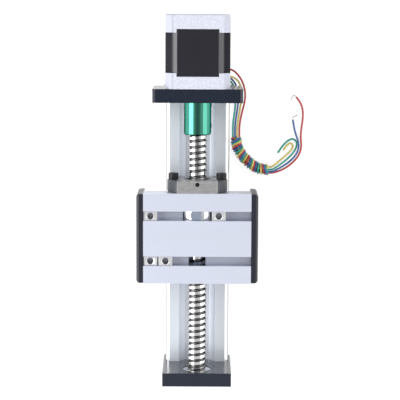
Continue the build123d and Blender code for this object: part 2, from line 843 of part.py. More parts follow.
coil_inner = stator_bore + tooth_shoe + small_gap
coil_outer = winding_radius - coil_back_gap
with BuildPart() as coils:
    with BuildSketch(across(stack_front - bell_cavity / 2)):
        with Locations((0, screw_height)):
            with PolarLocations((coil_inner + coil_outer) / 2, tooth_count):
                Rectangle(coil_outer - coil_inner, tooth_width + 2 * coil_wall - small_gap)
    extrude(amount=stack_front - stack_rear - bell_cavity)
    with BuildSketch(across(stack_front - running_clearance)):
        with Locations((0, screw_height)):
            with PolarLocations((coil_inner + coil_outer) / 2, tooth_count):
                Rectangle(winding_radius - stator_bore, tooth_width + 2 * running_clearance)
    extrude(amount=stack_front - stack_rear - 2 * running_clearance, mode=Mode.SUBTRACT)
save(coils.part, "stator_coils")

save(
    ring_along(stack_front + rotor_end_gap, stack_rear - rotor_end_gap, rotor_radius,
               shaft_radius + press_clearance),
    "rotor",
)
shaft_rear = motor_rear - shaft_tail
save(cylinder_along(shaft_end, shaft_rear, shaft_radius), "motor_shaft")
front_seat = motor_face + bell_wall
rear_seat = motor_rear - bell_wall - motor_bearing_width
for side, seat in (("front", front_seat), ("rear", rear_seat)):
    ring = ring_along(
        seat, seat + motor_bearing_width, motor_bearing_radius, shaft_radius + running_clearance
    )
    save(ring, f"motor_bearing_{side}")

tie_reach = motor_length - mount_head_pocket - mount_screw_reach - small_gap
tie_screws = cap_screws_along(
    motor_rear - mount_head_pocket, -1, motor_screw_places, motor_screw_radius,
    motor_screw_head_radius, motor_screw_head, tie_reach,
)
save(tie_screws, "motor_tie_screws")


# Motor leads: grommet, four leads down to the table, a wound bundle and four free tails
with BuildPart() as grommet:
    with BuildSketch(Plane.XY.offset(motor_bottom - grommet_stand_out)):
        with Locations((lead_exit_x, grommet_y)):
            RectangleRounded(
                grommet_width - 2 * press_clearance, grommet_depth - 2 * press_clearance,
                grommet_corner,
            )
    extrude(amount=grommet_stand_out + grommet_seat)
save(grommet.part, "lead_grommet")

exit_z = motor_bottom - grommet_stand_out
bundle_route = [
    (26.4, 39.2, 4.3), (26.4, 34.4, 4.3), (28.8, 28.8, 4.3), (33.2, 23.6, 4.3),
    (38.4, 19.4, 4.3), (43.6, 17.0, 4.3), (48.2, 17.0, 4.3),
]
lead_routes = {
    "lead_red_run": [
        (11.8, 81.9, exit_z), (11.8, 81.9, 15.4), (14.2, 83.8, 12.9), (18.6, 86.2, 11.5),
        (23.6, 85.8, 10.8), (28.2, 81.4, 10.2), (31.3, 75.4, 9.2), (32.5, 68.8, 7.0),
        (31.9, 62.4, 4.0), (30.4, 56.4, 1.3), (29.2, 50.6, 0.8), (28.6, 46.0, 1.8),
        (28.6, 42.4, 3.2), (28.6, 39.2, 3.2),
    ],
    "lead_yellow_run": [
        (11.8, 80.0, exit_z), (11.8, 80.0, 15.2), (14.0, 80.2, 12.6), (18.2, 80.9, 10.7),
        (23.2, 81.1, 9.6), (27.4, 78.4, 8.6), (29.5, 73.6, 7.4), (29.9, 68.2, 5.4),
        (29.5, 62.4, 3.0), (28.6, 56.4, 1.1), (27.7, 50.6, 0.8), (27.1, 46.0, 1.8),
        (27.1, 42.4, 3.2), (27.1, 39.2, 3.2),
    ],
    "lead_blue_run": [
        (9.8, 81.9, exit_z), (9.8, 81.9, 14.2), (11.2, 81.7, 10.4), (14.8, 81.4, 7.7),
        (19.4, 81.0, 6.7), (23.8, 78.8, 6.2), (26.5, 74.2, 5.6), (27.5, 68.6, 4.4),
        (27.6, 62.6, 2.6), (26.9, 56.4, 1.0), (26.0, 50.6, 0.8), (25.6, 46.0, 1.8),
        (25.6, 42.4, 3.2), (25.6, 39.2, 3.2),
    ],
    "lead_green_run": [
        (9.8, 80.0, exit_z), (9.8, 80.0, 13.8), (10.9, 79.7, 9.4), (14.2, 79.3, 5.9),
        (18.8, 79.1, 4.4), (22.8, 77.4, 4.0), (24.9, 73.4, 3.7), (25.3, 68.4, 3.2),
        (25.8, 62.6, 2.2), (25.3, 56.4, 1.0), (24.4, 50.6, 0.8), (24.1, 46.0, 1.8),
        (24.1, 42.4, 3.2), (24.1, 39.2, 3.2),
    ],
    "lead_red_tail": [
        (48.2, 14.6, 3.4), (52.0, 14.6, 3.4), (58.2, 16.4, 1.8), (64.6, 20.4, 0.8),
        (69.6, 26.0, 0.8), (71.6, 32.2, 0.8), (70.8, 38.6, 0.8), (71.2, 45.0, 0.8),
        (72.2, 51.6, 0.8), (72.2, 58.0, 0.8), (70.2, 63.6, 0.8), (67.4, 66.8, 0.8),
    ],
    "lead_blue_tail": [
        (48.2, 15.6, 5.4), (51.6, 15.6, 5.4), (57.0, 18.2, 3.4), (63.2, 22.0, 1.6),
        (67.8, 26.8, 1.2), (69.6, 31.6, 2.3), (69.1, 36.6, 2.7), (67.2, 41.6, 1.4),
        (66.0, 46.8, 0.8), (65.3, 51.2, 0.8),
    ],
    "lead_green_tail": [
        (48.2, 17.2, 6.2), (51.6, 17.2, 6.2), (56.2, 20.2, 4.8), (61.6, 24.0, 2.6),
        (66.0, 28.4, 1.2), (68.2, 32.6, 0.8), (68.2, 36.0, 0.8), (65.7, 38.2, 0.8),
        (62.1, 36.9, 0.8), (58.3, 33.0, 0.8), (55.2, 28.2, 0.8),
    ],
    "lead_yellow_tail": [
        (48.2, 18.9, 5.2), (51.0, 18.9, 5.2), (54.6, 21.6, 3.8), (59.2, 25.2, 2.0),
        (63.2, 28.8, 0.9), (65.3, 31.5, 0.8), (65.5, 34.0, 0.8), (63.6, 35.2, 0.8),
        (61.4, 33.6, 0.8), (59.0, 30.0, 0.8),
    ],
}
tip_routes = {
    "red": [(67.4, 66.8, 0.8), (66.3, 68.1, 0.8), (64.9, 67.3, 0.8), (63.9, 64.6, 0.8)],
    "blue": [(65.3, 51.2, 0.8), (65.1, 52.6, 0.8), (66.4, 53.4, 0.8), (68.4, 54.3, 0.8)],
}


def bend_radii(route):
    """The largest arc that each corner's two runs allow."""
    radii = []
    for before, corner, after in zip(route, route[1:], route[2:]):
        run_in = Vector(*corner) - Vector(*before)
        run_out = Vector(*after) - Vector(*corner)
        half_turn = math.radians(run_in.get_angle(run_out) / 2)
        radii.append(0.45 * min(run_in.length, run_out.length) / math.tan(half_turn))
    return radii


def make_tube(route, radius):
    """A round tube along straight runs joined by tangent arcs."""
    radii = bend_radii(route)
    with BuildPart() as tube:
        with BuildLine() as path:
            FilletPolyline(*route, radius=radii)
        with BuildSketch(Plane(origin=path.line @ 0, z_dir=path.line % 0)):
            Circle(radius)
        sweep()
    length = sum(edge.length for edge in path.edges())
    ratio = tube.part.volume / (math.pi * radius ** 2 * length)
    print(f"  length {length:.1f}, volume ratio {ratio:.3f}, radii {min(radii):.1f} to {max(radii):.1f}")
    return tube.part


for name, route in lead_routes.items():
    save(make_tube(route, lead_radius), name)
save(make_tube(bundle_route, bundle_radius), "lead_bundle")
tips = [make_tube(route, tip_radius) for route in tip_routes.values()]
with BuildPart() as tip_part:
    add(tips)
save(tip_part.part, "lead_tips")
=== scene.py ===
import json
import math
import bmesh
import bpy
from bpy.props import FloatProperty, FloatVectorProperty, PointerProperty
from bpy.types import Operator, Panel, PropertyGroup
from mathutils import Matrix, Vector


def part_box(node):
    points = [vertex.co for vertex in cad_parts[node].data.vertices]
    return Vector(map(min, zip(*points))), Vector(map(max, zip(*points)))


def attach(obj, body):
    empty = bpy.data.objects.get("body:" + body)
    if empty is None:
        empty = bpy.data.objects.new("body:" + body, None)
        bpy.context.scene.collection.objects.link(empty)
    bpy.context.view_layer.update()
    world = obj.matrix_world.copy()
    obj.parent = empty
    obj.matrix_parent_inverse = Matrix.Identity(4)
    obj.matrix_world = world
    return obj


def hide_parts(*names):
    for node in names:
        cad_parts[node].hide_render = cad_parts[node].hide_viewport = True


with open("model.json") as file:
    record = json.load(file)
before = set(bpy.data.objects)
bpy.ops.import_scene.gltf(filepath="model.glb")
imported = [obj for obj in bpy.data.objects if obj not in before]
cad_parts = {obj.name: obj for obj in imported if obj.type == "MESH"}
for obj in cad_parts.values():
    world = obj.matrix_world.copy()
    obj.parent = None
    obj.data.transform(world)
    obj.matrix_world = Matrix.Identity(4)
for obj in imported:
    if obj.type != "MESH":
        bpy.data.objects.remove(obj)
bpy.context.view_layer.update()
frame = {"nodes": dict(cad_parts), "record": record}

bl_info = {
    "name": "Ball screw stage",
    "version": (1, 0, 0),
    "blender": (4, 5, 0),
    "location": "View3D > Sidebar > Ball screw stage",
    "description": "Dresses the packed stage with its thread, screws, leads and finishes",
    "category": "Object",
}

MM = 0.001
MICRON = 0.000001
SCREW_HEIGHT = 0.04
# An edge tint that paints a dark reflection on the rims of round steel, where its surface turns
# away
PAINTED_DARK_RIM = (0.03, 0.03, 0.04, 1.0)
# Head radius, head height, shank radius and socket across flats of the cap screws, in millimetres
M4 = (3.5, 4.0, 2.0, 3.0)
M3 = (2.75, 3.0, 1.5, 2.5)
SHOULDER = (4.4, 2.2, 2.5, 3.0)
HEAD_SIDES = 48
# Radius of the knurl's valleys, as a share of its ridges'
KNURL = 0.965
# Faces of the end plate and the motor plate along Y, and how far the screws' heads lie below them
END_FACE = -0.12325
PLATE_FACE = 0.06625
MOTOR_FACE = 0.07525
SUNK = 0.0002
# Places of the screws across and up, in millimetres
PLATE_SCREWS = ((-15.7, 5.8), (0, 8.6), (15.7, 5.8))
MOTOR_CORNER = 15.5
NUT_SCREWS = (16, -16)
CAP_SCREW_HEIGHT = 47.0
CAP_SCREWS_ALONG = (-49.1, 1.9)
# Half section of a pressed shield: radius, and depth below the ring's face, in millimetres
SHIELD = (
    (6.55, 0.0), (6.9, 0.0), (7.1, 0.12), (7.8, 0.12), (8.0, 0.0), (8.18, 0.0),
    (8.18, 0.18), (7.9, 0.28), (7.0, 0.28), (6.55, 0.2),
)
SLOT_OF = {row["node"]: row["material_slot"] for row in frame["record"]["subparts"]}

# Routes of the motor leads, in metres, from the motor's underside to the wound bundle
RUNS = {
    "red": [
        (0.0118, 0.0819, 0.01785), (0.0118, 0.0819, 0.0154), (0.0142, 0.0838, 0.0129),
        (0.0186, 0.0862, 0.0115), (0.0236, 0.0858, 0.0108), (0.0282, 0.0814, 0.0102),
        (0.0313, 0.0754, 0.0092), (0.0325, 0.0688, 0.0070), (0.0319, 0.0624, 0.0040),
        (0.0304, 0.0564, 0.0013), (0.0292, 0.0506, 0.0008), (0.0286, 0.0460, 0.0018),
        (0.0286, 0.0424, 0.0032), (0.0286, 0.0392, 0.0032),
    ],
    "yellow": [
        (0.0118, 0.0800, 0.01785), (0.0118, 0.0800, 0.0152), (0.0140, 0.0802, 0.0126),
        (0.0182, 0.0809, 0.0107), (0.0232, 0.0811, 0.0096), (0.0274, 0.0784, 0.0086),
        (0.0295, 0.0736, 0.0074), (0.0299, 0.0682, 0.0054), (0.0295, 0.0624, 0.0030),
        (0.0286, 0.0564, 0.0011), (0.0277, 0.0506, 0.0008), (0.0271, 0.0460, 0.0018),
        (0.0271, 0.0424, 0.0032), (0.0271, 0.0392, 0.0032),
    ],
    "blue": [
        (0.0098, 0.0819, 0.01785), (0.0098, 0.0819, 0.0142), (0.0112, 0.0817, 0.0104),
        (0.0148, 0.0814, 0.0077), (0.0194, 0.0810, 0.0067), (0.0238, 0.0788, 0.0062),
        (0.0265, 0.0742, 0.0056), (0.0275, 0.0686, 0.0044), (0.0276, 0.0626, 0.0026),
        (0.0269, 0.0564, 0.0010), (0.0260, 0.0506, 0.0008), (0.0256, 0.0460, 0.0018),
        (0.0256, 0.0424, 0.0032), (0.0256, 0.0392, 0.0032),
    ],
    "green": [
        (0.0098, 0.0800, 0.01785), (0.0098, 0.0800, 0.0138), (0.0109, 0.0797, 0.0094),
        (0.0142, 0.0793, 0.0059), (0.0188, 0.0791, 0.0044), (0.0228, 0.0774, 0.0040),
        (0.0249, 0.0734, 0.0037), (0.0253, 0.0684, 0.0032), (0.0258, 0.0626, 0.0022),
        (0.0253, 0.0564, 0.0010), (0.0244, 0.0506, 0.0008), (0.0241, 0.0460, 0.0018),
        (0.0241, 0.0424, 0.0032), (0.0241, 0.0392, 0.0032),
    ],
}
BUNDLE = [
    (0.0264, 0.0392, 0.0043), (0.0264, 0.0344, 0.0043), (0.0288, 0.0288, 0.0043),
    (0.0332, 0.0236, 0.0043), (0.0384, 0.0194, 0.0043), (0.0436, 0.0170, 0.0043),
    (0.0482, 0.0170, 0.0043),
]
TAILS = {
    "red": [
        (0.0482, 0.0146, 0.0034), (0.0520, 0.0146, 0.0034), (0.0582, 0.0164, 0.0018),
        (0.0646, 0.0204, 0.0008), (0.0696, 0.0260, 0.0008), (0.0716, 0.0322, 0.0008),
        (0.0708, 0.0386, 0.0008), (0.0712, 0.0450, 0.0008), (0.0722, 0.0516, 0.0008),
        (0.0722, 0.0580, 0.0008), (0.0702, 0.0636, 0.0008), (0.0674, 0.0668, 0.0008),
    ],
    "blue": [
        (0.0482, 0.0156, 0.0054), (0.0516, 0.0156, 0.0054), (0.0570, 0.0182, 0.0034),
        (0.0632, 0.0220, 0.0016), (0.0678, 0.0268, 0.0012), (0.0696, 0.0316, 0.0023),
        (0.0691, 0.0366, 0.0027), (0.0672, 0.0416, 0.0014), (0.0660, 0.0468, 0.0008),
        (0.0653, 0.0512, 0.0008),
    ],
    "green": [
        (0.0482, 0.0172, 0.0062), (0.0516, 0.0172, 0.0062), (0.0562, 0.0202, 0.0048),
        (0.0616, 0.0240, 0.0026), (0.0660, 0.0284, 0.0012), (0.0682, 0.0326, 0.0008),
        (0.0682, 0.0360, 0.0008), (0.0657, 0.0382, 0.0008), (0.0621, 0.0369, 0.0008),
        (0.0583, 0.0330, 0.0008), (0.0552, 0.0282, 0.0008),
    ],
    "yellow": [
        (0.0482, 0.0189, 0.0052), (0.0510, 0.0189, 0.0052), (0.0546, 0.0216, 0.0038),
        (0.0592, 0.0252, 0.0020), (0.0632, 0.0288, 0.0009), (0.0653, 0.0315, 0.0008),
        (0.0655, 0.0340, 0.0008), (0.0636, 0.0352, 0.0008), (0.0614, 0.0336, 0.0008),
        (0.0590, 0.0300, 0.0008),
    ],
}
# Degrees round the bundle's middle line: where a lead lies going in and where it lies going out
CORE_IN = {"red": 0.0, "blue": 90.0, "green": 180.0, "yellow": 270.0}
CORE_OUT = {"red": 225.0, "blue": 135.0, "green": 45.0, "yellow": 315.0}
# Distances from that line, in millimetres, and the shares of its length that have a point
IN_RADIUS, OUT_RADIUS, WRAP_RADIUS = 2.1, 0.97, 3.55
IN_SHARES = (0.09, 0.28, 0.50, 0.72)
OUT_SHARES = (0.12, 0.34, 0.58, 0.80)
# Turn-back at the far end: millimetres before the end, radius, and degrees past the way in
FAR_TURN = ((2.6, IN_RADIUS, 0.0), (0.5, 2.5, 12.0), (0.1, 3.3, 48.0))
WRAP_START = 78.0
STEPS_PER_WRAP = 12
# Turn-back at the near end: millimetres from the start, radius, and share of the turn still to go
NEAR_TURN = ((0.5, 3.1, 0.0), (0.5, 2.3, 0.35), (1.4, 1.35, 0.75))


def power_setting(name, description, default):
    return FloatProperty(
        name=name, description=description, default=default, min=0.0, unit="POWER")


def length_setting(name, description, default):
    return FloatProperty(name=name, description=description, default=default, unit="LENGTH")


def colour_setting(name, description, default):
    return FloatVectorProperty(
        name=name, description=description, subtype="COLOR", size=3, default=default)


class StudioSettings(PropertyGroup):
    left_light: power_setting("Left light", "Power of the long soft box on the left", 13.5)
    right_light: power_setting("Right light", "Power of the long soft box on the right", 5.4)
    ambient: FloatProperty(
        name="Room light", description="Brightness of the room's light", default=1.0, min=0.0,
        subtype="FACTOR")


class ThreadSettings(PropertyGroup):
    lead: length_setting("Lead", "Travel of the nut for one turn of the screw", 0.004)
    groove_width: length_setting("Groove width", "Width of the ball track", 0.0020)
    groove_depth: length_setting("Groove depth", "Depth of the ball track", 0.00095)


class LeadSettings(PropertyGroup):
    diameter: length_setting("Diameter", "Outside diameter of one lead", 0.00135)
    wrap_pitch: length_setting(
        "Wrap pitch", "Length of bundle that one turn of all four leads covers", 0.0062)
    red: colour_setting("Red", "Red insulation", (0.62, 0.045, 0.040))
    yellow: colour_setting("Yellow", "Yellow insulation", (0.92, 0.72, 0.17))
    blue: colour_setting("Blue", "Blue insulation", (0.045, 0.13, 0.42))
    green: colour_setting("Green", "Green insulation", (0.020, 0.42, 0.33))


class FinishSettings(PropertyGroup):
    clear_aluminium: colour_setting("Clear anodised", "Table and base", (0.80, 0.84, 0.98))
    black_aluminium: colour_setting(
        "Black anodised", "End plate and motor plate", (0.007, 0.012, 0.027))
    coupling_green: colour_setting("Coupling", "Green anodised sleeve", (0.085, 0.345, 0.255))
    cast_aluminium: colour_setting("Motor casting", "Blasted end bells", (0.68, 0.70, 0.80))
    polished_steel: colour_setting("Polished steel", "Screw, rods and bearing", (0.80, 0.80, 0.80))
    cap_plastic: colour_setting("End caps", "Moulded plastic caps", (0.014, 0.015, 0.026))


class Sock:
    """A shader socket that takes part in Python sums."""

    def __init__(self, graph, socket):
        self.graph = graph
        self.socket = socket

    def maths(self, operation, other, turned=False):
        first, second = (other, self) if turned else (self, other)
        return self.graph.node("ShaderNodeMath", {"operation": operation}, {0: first, 1: second})

    def __add__(self, other):
        return self.maths("ADD", other)

    def __sub__(self, other):
        return self.maths("SUBTRACT", other)

    def __mul__(self, other):
        return self.maths("MULTIPLY", other)

    def __pow__(self, other):
        return self.maths("POWER", other)

    def __rsub__(self, other):
        return self.maths("SUBTRACT", other, True)

    __radd__ = __add__
    __rmul__ = __mul__


class Graph:
    """A node tree that is filled with one call per node."""

    def __init__(self, tree):
        self.tree = tree

    def put(self, target, value):
        if isinstance(value, Sock):
            self.tree.links.new(value.socket, target)
        elif hasattr(value, "__len__") and target.type == "RGBA":
            target.default_value = (*value[:3], 1.0)
        else:
            target.default_value = value

    def node(self, kind, settings, inputs, output=0):
        made = self.tree.nodes.new(kind)
        for name, value in settings.items():
            setattr(made, name, value)
        for name, value in inputs.items():
            self.put(made.inputs[name], value)
        return None if output is None else Sock(self, made.outputs[output])

    def band(self, value, low, high):
        """The value's part between low and high, spread over 0 to 1."""
        return self.node(
            "ShaderNodeMapRange", {}, {"Value": value, "From Min": low, "From Max": high})

    def rays(self):
        """Whether the camera, a mirror or glass is looking, one value each."""
        return [self.node("ShaderNodeLightPath", {}, {}, f"Is {ray} Ray")
                for ray in ("Camera", "Glossy", "Transmission")]


class Finish(Graph):
    """One node material with the shader's constants set on its own sockets."""

    def __init__(self, name, metallic=0.0, **constants):
        self.name = name
        self.material = bpy.data.materials.new(name)
        self.material.use_nodes = True
        super().__init__(self.material.node_tree)
        self.shader = self.tree.nodes["Principled BSDF"]
        self.shader.inputs["Metallic"].default_value = metallic
        for socket, value in constants.items():
            self.shader.inputs[socket.replace("_", " ")].default_value = value
        self.place = self.node("ShaderNodeTexCoord", {}, {}, "Object")

    def stretched(self, scale):
        """Object coordinates in metres, scaled so that a pattern is stretched."""
        return self.node("ShaderNodeMapping", {}, {"Vector": self.place, "Scale": scale})

    def noise(self, scale, detail=3.0, roughness=0.55, vector=None):
        return self.node("ShaderNodeTexNoise", {}, {
            "Vector": vector or self.place, "Scale": scale, "Detail": detail,
            "Roughness": roughness})

    def rings(self):
        """Fine turning marks along Y."""
        return self.noise(9000.0, 2.0, 0.6, self.stretched((0.004, 1.0, 0.004)))

    def axis(self, name):
        """One of the object coordinates, in metres."""
        return self.node("ShaderNodeSeparateXYZ", {}, {0: self.place}, name)

    def absolute(self, value):
        return self.node("ShaderNodeMath", {"operation": "ABSOLUTE"}, {0: value})

    def from_screw(self):
        """Distance from the screw's axis, in metres."""
        across = self.axis("X")
        up = self.axis("Z") - SCREW_HEIGHT
        return (across * across + up * up) ** 0.5

    def mix(self, factor, first, second):
        return self.node(
            "ShaderNodeMix", {"data_type": "RGBA"}, {"Factor": factor, 6: first, 7: second}, 2)

    def tones(self, factor, colour, low, high):
        """The colour, times low to times high as the factor goes from 0 to 1."""
        return self.mix(factor, tint(colour, low), tint(colour, high))

    def bump(self, height, microns):
        self.put(self.shader.inputs["Normal"], self.node(
            "ShaderNodeBump", {},
            {"Height": height, "Distance": microns * MICRON, "Strength": 1.0}))

    def colour(self, value):
        self.put(self.shader.inputs["Base Color"], value)

    def rough(self, value):
        self.put(self.shader.inputs["Roughness"], value)

    def rough_with(self, pattern, middle, spread):
        """Roughness that follows a fine pattern, spread about its middle."""
        self.rough(self.band(pattern, 0.3, 0.7) * spread + (middle - spread / 2))


def tint(colour, factor):
    return tuple(min(1.0, part * factor) for part in colour)


def drawn_metal(name, colour, metallic, roughness, along, grain, microns, spread, shade=None,
                **constants):
    """Metal with fine lines along one axis, such as an extrusion, dimmer where shade says."""
    finish = Finish(name, metallic, **constants)
    scale = [1.0 if axis != along else 0.02 for axis in "XYZ"]
    lines = finish.noise(grain, 4.0, 0.6, finish.stretched(scale))
    cloud = finish.noise(60.0, 3.0)
    tone = finish.tones(lines * 0.5 + cloud * 0.5, colour, 1.0 - spread, 1.0 + spread)
    if shade:
        tone = finish.mix(shade(finish), tone, tint(colour, 0.50))
    finish.colour(tone)
    finish.rough(finish.band(lines, 0.3, 0.7) * 0.06 + (roughness - 0.03) + cloud * 0.04)
    finish.bump(lines, microns)
    return finish


def slot_shade(finish):
    """Painted shade in the table's slots, below its upper lips."""
    height = finish.axis("Z")
    below_lips = finish.band(height, 52.9 * MM, 52.5 * MM)
    above_legs = finish.band(height, 39.8 * MM, 40.2 * MM)
    return below_lips * above_legs * 0.45


def channel_shade(finish):
    """Painted shade on the sloping walls of the base's channel, the right one more than the left.
    """
    across = finish.axis("X")
    off = finish.absolute(across)
    walls = finish.band(off, 8.0 * MM, 8.4 * MM) * finish.band(off, 12.3 * MM, 12.1 * MM)
    return walls * (finish.band(across, -1 * MM, 1 * MM) * 0.45 + 0.40)


def corner_shade(finish):
    """Painted shade on the rounded corners along the motor's left side."""
    return finish.band(finish.axis("X"), -15.4 * MM, -17.0 * MM)


def blasted_metal(name, colour, metallic, roughness, grain, microns, spread, shade=None,
                  **constants):
    """Metal with a granular skin, such as a blasted casting, darker where shade says."""
    finish = Finish(name, metallic, **constants)
    grains = finish.noise(grain, 2.0, 0.7)
    cells = finish.node("ShaderNodeTexVoronoi", {}, {"Vector": finish.place, "Scale": grain * 0.7})
    cloud = finish.noise(45.0, 3.0)
    mask = finish.band(grains * 0.6 + cells * 0.4, 0.28, 0.62)
    tone = finish.tones(mask * 0.75 + cloud * 0.25, colour, 1.0 - spread, 1.0 + spread)
    if shade:
        tone = finish.mix(shade(finish), tone, tint(colour, 0.78))
    finish.colour(tone)
    finish.rough(mask * 0.12 + (roughness - 0.06))
    finish.bump(mask, microns)
    return finish


def moulded_plastic(name, colour, roughness, grain=1500.0, microns=30):
    """Plastic with a fine spark-eroded texture."""
    finish = Finish(name)
    pits = finish.noise(grain, 2.0, 0.6)
    cloud = finish.noise(70.0, 3.0)
    finish.colour(finish.tones(cloud, colour, 0.82, 1.2))
    finish.rough_with(pits, roughness, 0.12)
    finish.bump(pits, microns)
    return finish


def turned_metal(name, colour, metallic, roughness, microns=8, **constants):
    """Metal turned in a lathe about the screw's axis, with fine rings along Y."""
    finish = Finish(name, metallic, **constants)
    rings = finish.rings()
    cloud = finish.noise(80.0, 3.0)
    finish.colour(finish.tones(cloud * 0.7 + rings * 0.3, colour, 0.88, 1.12))
    finish.rough_with(rings, roughness, 0.08)
    finish.bump(rings, microns)
    return finish


def screw_steel(colour):
    """Ground lands, with painted shade darkening the ball tracks between them."""
    finish = Finish("screw_steel", 1.0, Specular_Tint=PAINTED_DARK_RIM)
    # Painted shade: the ball tracks take a much darker colour than the lands, and are rougher
    track = finish.band(finish.from_screw(), 5.93 * MM, 5.70 * MM)
    cloud = finish.noise(80.0, 3.0)
    lands = finish.tones(cloud, colour, 0.92, 1.10)
    finish.colour(finish.mix(track, lands, tint(colour, 0.18)))
    finish.rough(track * 0.16 + 0.09 + cloud * 0.03)
    finish.bump(finish.rings(), 3)
    return finish


def nut_steel():
    """A grainy blackened flange on a nut body that is ground bright, with painted shade on the
    flange's rounded sides past its flat top.
    """
    finish = Finish("nut_steel", 0.85)
    flange = finish.band(finish.axis("Y"), 6.0 * MM, 6.6 * MM)
    # Painted shade, nearly black, on the flange's rounded sides past its flat top
    painted_ear_shade = finish.band(finish.absolute(finish.axis("X")), 13.2 * MM, 13.5 * MM)
    grains = finish.noise(1300.0, 2.0, 0.7, finish.stretched((0.25, 1.0, 1.0)))
    cloud = finish.noise(60.0, 3.0)
    middle = finish.mix(grains * 0.8 + cloud * 0.2, (0.24, 0.235, 0.24), (0.70, 0.69, 0.70))
    grained = finish.mix(painted_ear_shade, middle, (0.09, 0.095, 0.105))
    finish.colour(finish.mix(flange, (0.66, 0.66, 0.68), grained))
    finish.rough(flange * 0.30 + 0.12 + grains * 0.05)
    finish.bump(flange * grains, 30)
    return finish


def lamination_black():
    """Black lacquer over stacked sheet steel, whose edges show as fine lines across the motor."""
    finish = Finish("lamination_black", Specular_IOR_Level=0.35, Coat_Roughness=0.05)
    sheets = finish.node("ShaderNodeTexWave", {"bands_direction": "Y"}, {
        "Vector": finish.place, "Scale": 320.0, "Distortion": 0.35, "Detail": 2.0,
        "Detail Scale": 3.0})
    specks = finish.noise(1400.0, 3.0, 0.7)
    cloud = finish.noise(55.0, 3.0)
    shade = finish.mix(cloud * 0.6 + specks * 0.4, (0.003, 0.003, 0.007), (0.012, 0.012, 0.022))
    finish.colour(finish.mix(finish.band(specks, 0.70, 0.78) * 0.5, shade, (0.07, 0.07, 0.085)))
    off = finish.absolute(finish.axis("X"))
    corner = finish.band(off, 16.3 * MM, 17.3 * MM)
    finish.rough(sheets * 0.08 + specks * 0.10 + 0.30 + corner * 0.45)
    finish.put(finish.shader.inputs["Coat Weight"], 0.95 - corner * 0.93)
    finish.bump(sheets * 0.8 + specks * 0.4, 20)
    return finish


def lead_insulation(name, colour):
    """Soft glossy insulation with slight scuffs."""
    finish = Finish(name, 0.0, Coat_Weight=0.6, Coat_Roughness=0.08)
    scuffs = finish.noise(700.0, 3.0, 0.6)
    cloud = finish.noise(120.0, 2.0)
    finish.colour(finish.tones(cloud * 0.7 + scuffs * 0.3, colour, 0.82, 1.15))
    finish.rough_with(scuffs, 0.34, 0.16)
    finish.bump(scuffs, 20)
    return finish


def slot_nut_steel(number):
    """Zinc plated steel, dull in the nut's threaded hole, with painted shade darkening the inside
    of that hole.
    """
    low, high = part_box(f"t_nut_{number}")
    finish = Finish(f"slot_nut_steel_{number}", 0.6)
    across = finish.axis("X") - (low[0] + high[0]) / 2
    along = finish.axis("Y") - (low[1] + high[1]) / 2
    # Painted shade: inside the threaded hole the colour is nearly black
    hole = finish.band((across * across + along * along) ** 0.5, 2.15 * MM, 2.08 * MM)
    grains = finish.noise(1200.0, 2.0, 0.7)
    cloud = finish.noise(45.0, 3.0)
    plating = finish.mix(grains * 0.6 + cloud * 0.4, (0.77, 0.77, 0.79), (0.87, 0.87, 0.89))
    finish.colour(finish.mix(hole, plating, (0.03, 0.03, 0.032)))
    finish.rough(grains * 0.10 + 0.29 + hole * 0.20)
    finish.bump(grains, 5)
    return finish


def copper_winding():
    """Enamelled wire wound round the teeth."""
    finish = Finish("copper_winding", 0.9)
    wires = finish.node("ShaderNodeTexWave", {"bands_direction": "Y"}, {
        "Vector": finish.place, "Scale": 500.0, "Distortion": 0.5, "Detail": 1.0})
    finish.colour(finish.mix(wires, (0.36, 0.12, 0.05), (0.66, 0.29, 0.13)))
    finish.rough(wires * 0.15 + 0.25)
    finish.bump(wires, 60)
    return finish


def dress(obj, finish):
    """Put one material on every slot of a piece."""
    obj.data.materials.clear()
    obj.data.materials.append(finish.material)


def switch_to(mode):
    bpy.ops.object.mode_set(mode=mode)


def clear_selection():
    if bpy.context.mode != "OBJECT":
        switch_to("OBJECT")
    bpy.ops.object.select_all(action="DESELECT")


def pick(*pieces):
    """Select just these pieces, the first one active."""
    clear_selection()
    for piece in pieces:
        piece.select_set(True)
    bpy.context.view_layer.objects.active = pieces[0]


def joined(name, pieces):
    """One piece made of several."""
    pick(*pieces)
    if len(pieces) > 1:
        bpy.ops.object.join()
    pieces[0].name = name
    return pieces[0]


def close_up(distance):
    """In edit mode, merge all doubles, turn the faces outwards and leave edit mode."""
    bpy.ops.mesh.select_all(action="SELECT")
    bpy.ops.mesh.remove_doubles(threshold=distance)
    bpy.ops.mesh.normals_make_consistent(inside=False)
    switch_to("OBJECT")


def choose(obj, kind, test):
    """In edit mode, select just the faces, edges or vertices whose middle passes the test."""
    mesh = bmesh.from_edit_mesh(obj.data)
    bpy.ops.mesh.select_mode(type={"faces": "FACE", "edges": "EDGE", "verts": "VERT"}[kind])
    bpy.ops.mesh.select_all(action="DESELECT")
    for part in getattr(mesh, kind):
        if kind == "faces":
            wanted = test(part.calc_center_median(), part.normal)
        elif kind == "edges":
            first, second = (vertex.co for vertex in part.verts)
            wanted = test((first + second) / 2, first - second)
        else:
            wanted = test(part.co, part.normal)
        if wanted:
            part.select_set(True)
    mesh.select_flush_mode()
    bmesh.update_edit_mesh(obj.data)


def settle(obj):
    """Put a finished piece's place into its mesh."""
    pick(obj)
    bpy.ops.object.transform_apply(location=True, rotation=True, scale=True)


def smooth(obj, angle=35.0):
    pick(obj)
    bpy.ops.object.shade_smooth_by_angle(angle=math.radians(angle))


def apply_modifier(obj, kind, **settings):
    pick(obj)
    modifier = obj.modifiers.new(kind.lower(), kind)
    for name, value in settings.items():
        setattr(modifier, name, value)
    bpy.ops.object.modifier_apply(modifier=modifier.name)


def upright_bar(sides, radius, depth):
    """A round bar whose upper face is at z = 0."""
    clear_selection()
    bpy.ops.mesh.primitive_cylinder_add(
        vertices=sides, radius=radius, depth=depth, location=(0, 0, -depth / 2))
    bpy.ops.object.transform_apply(location=True, rotation=False, scale=False)
    return bpy.context.active_object


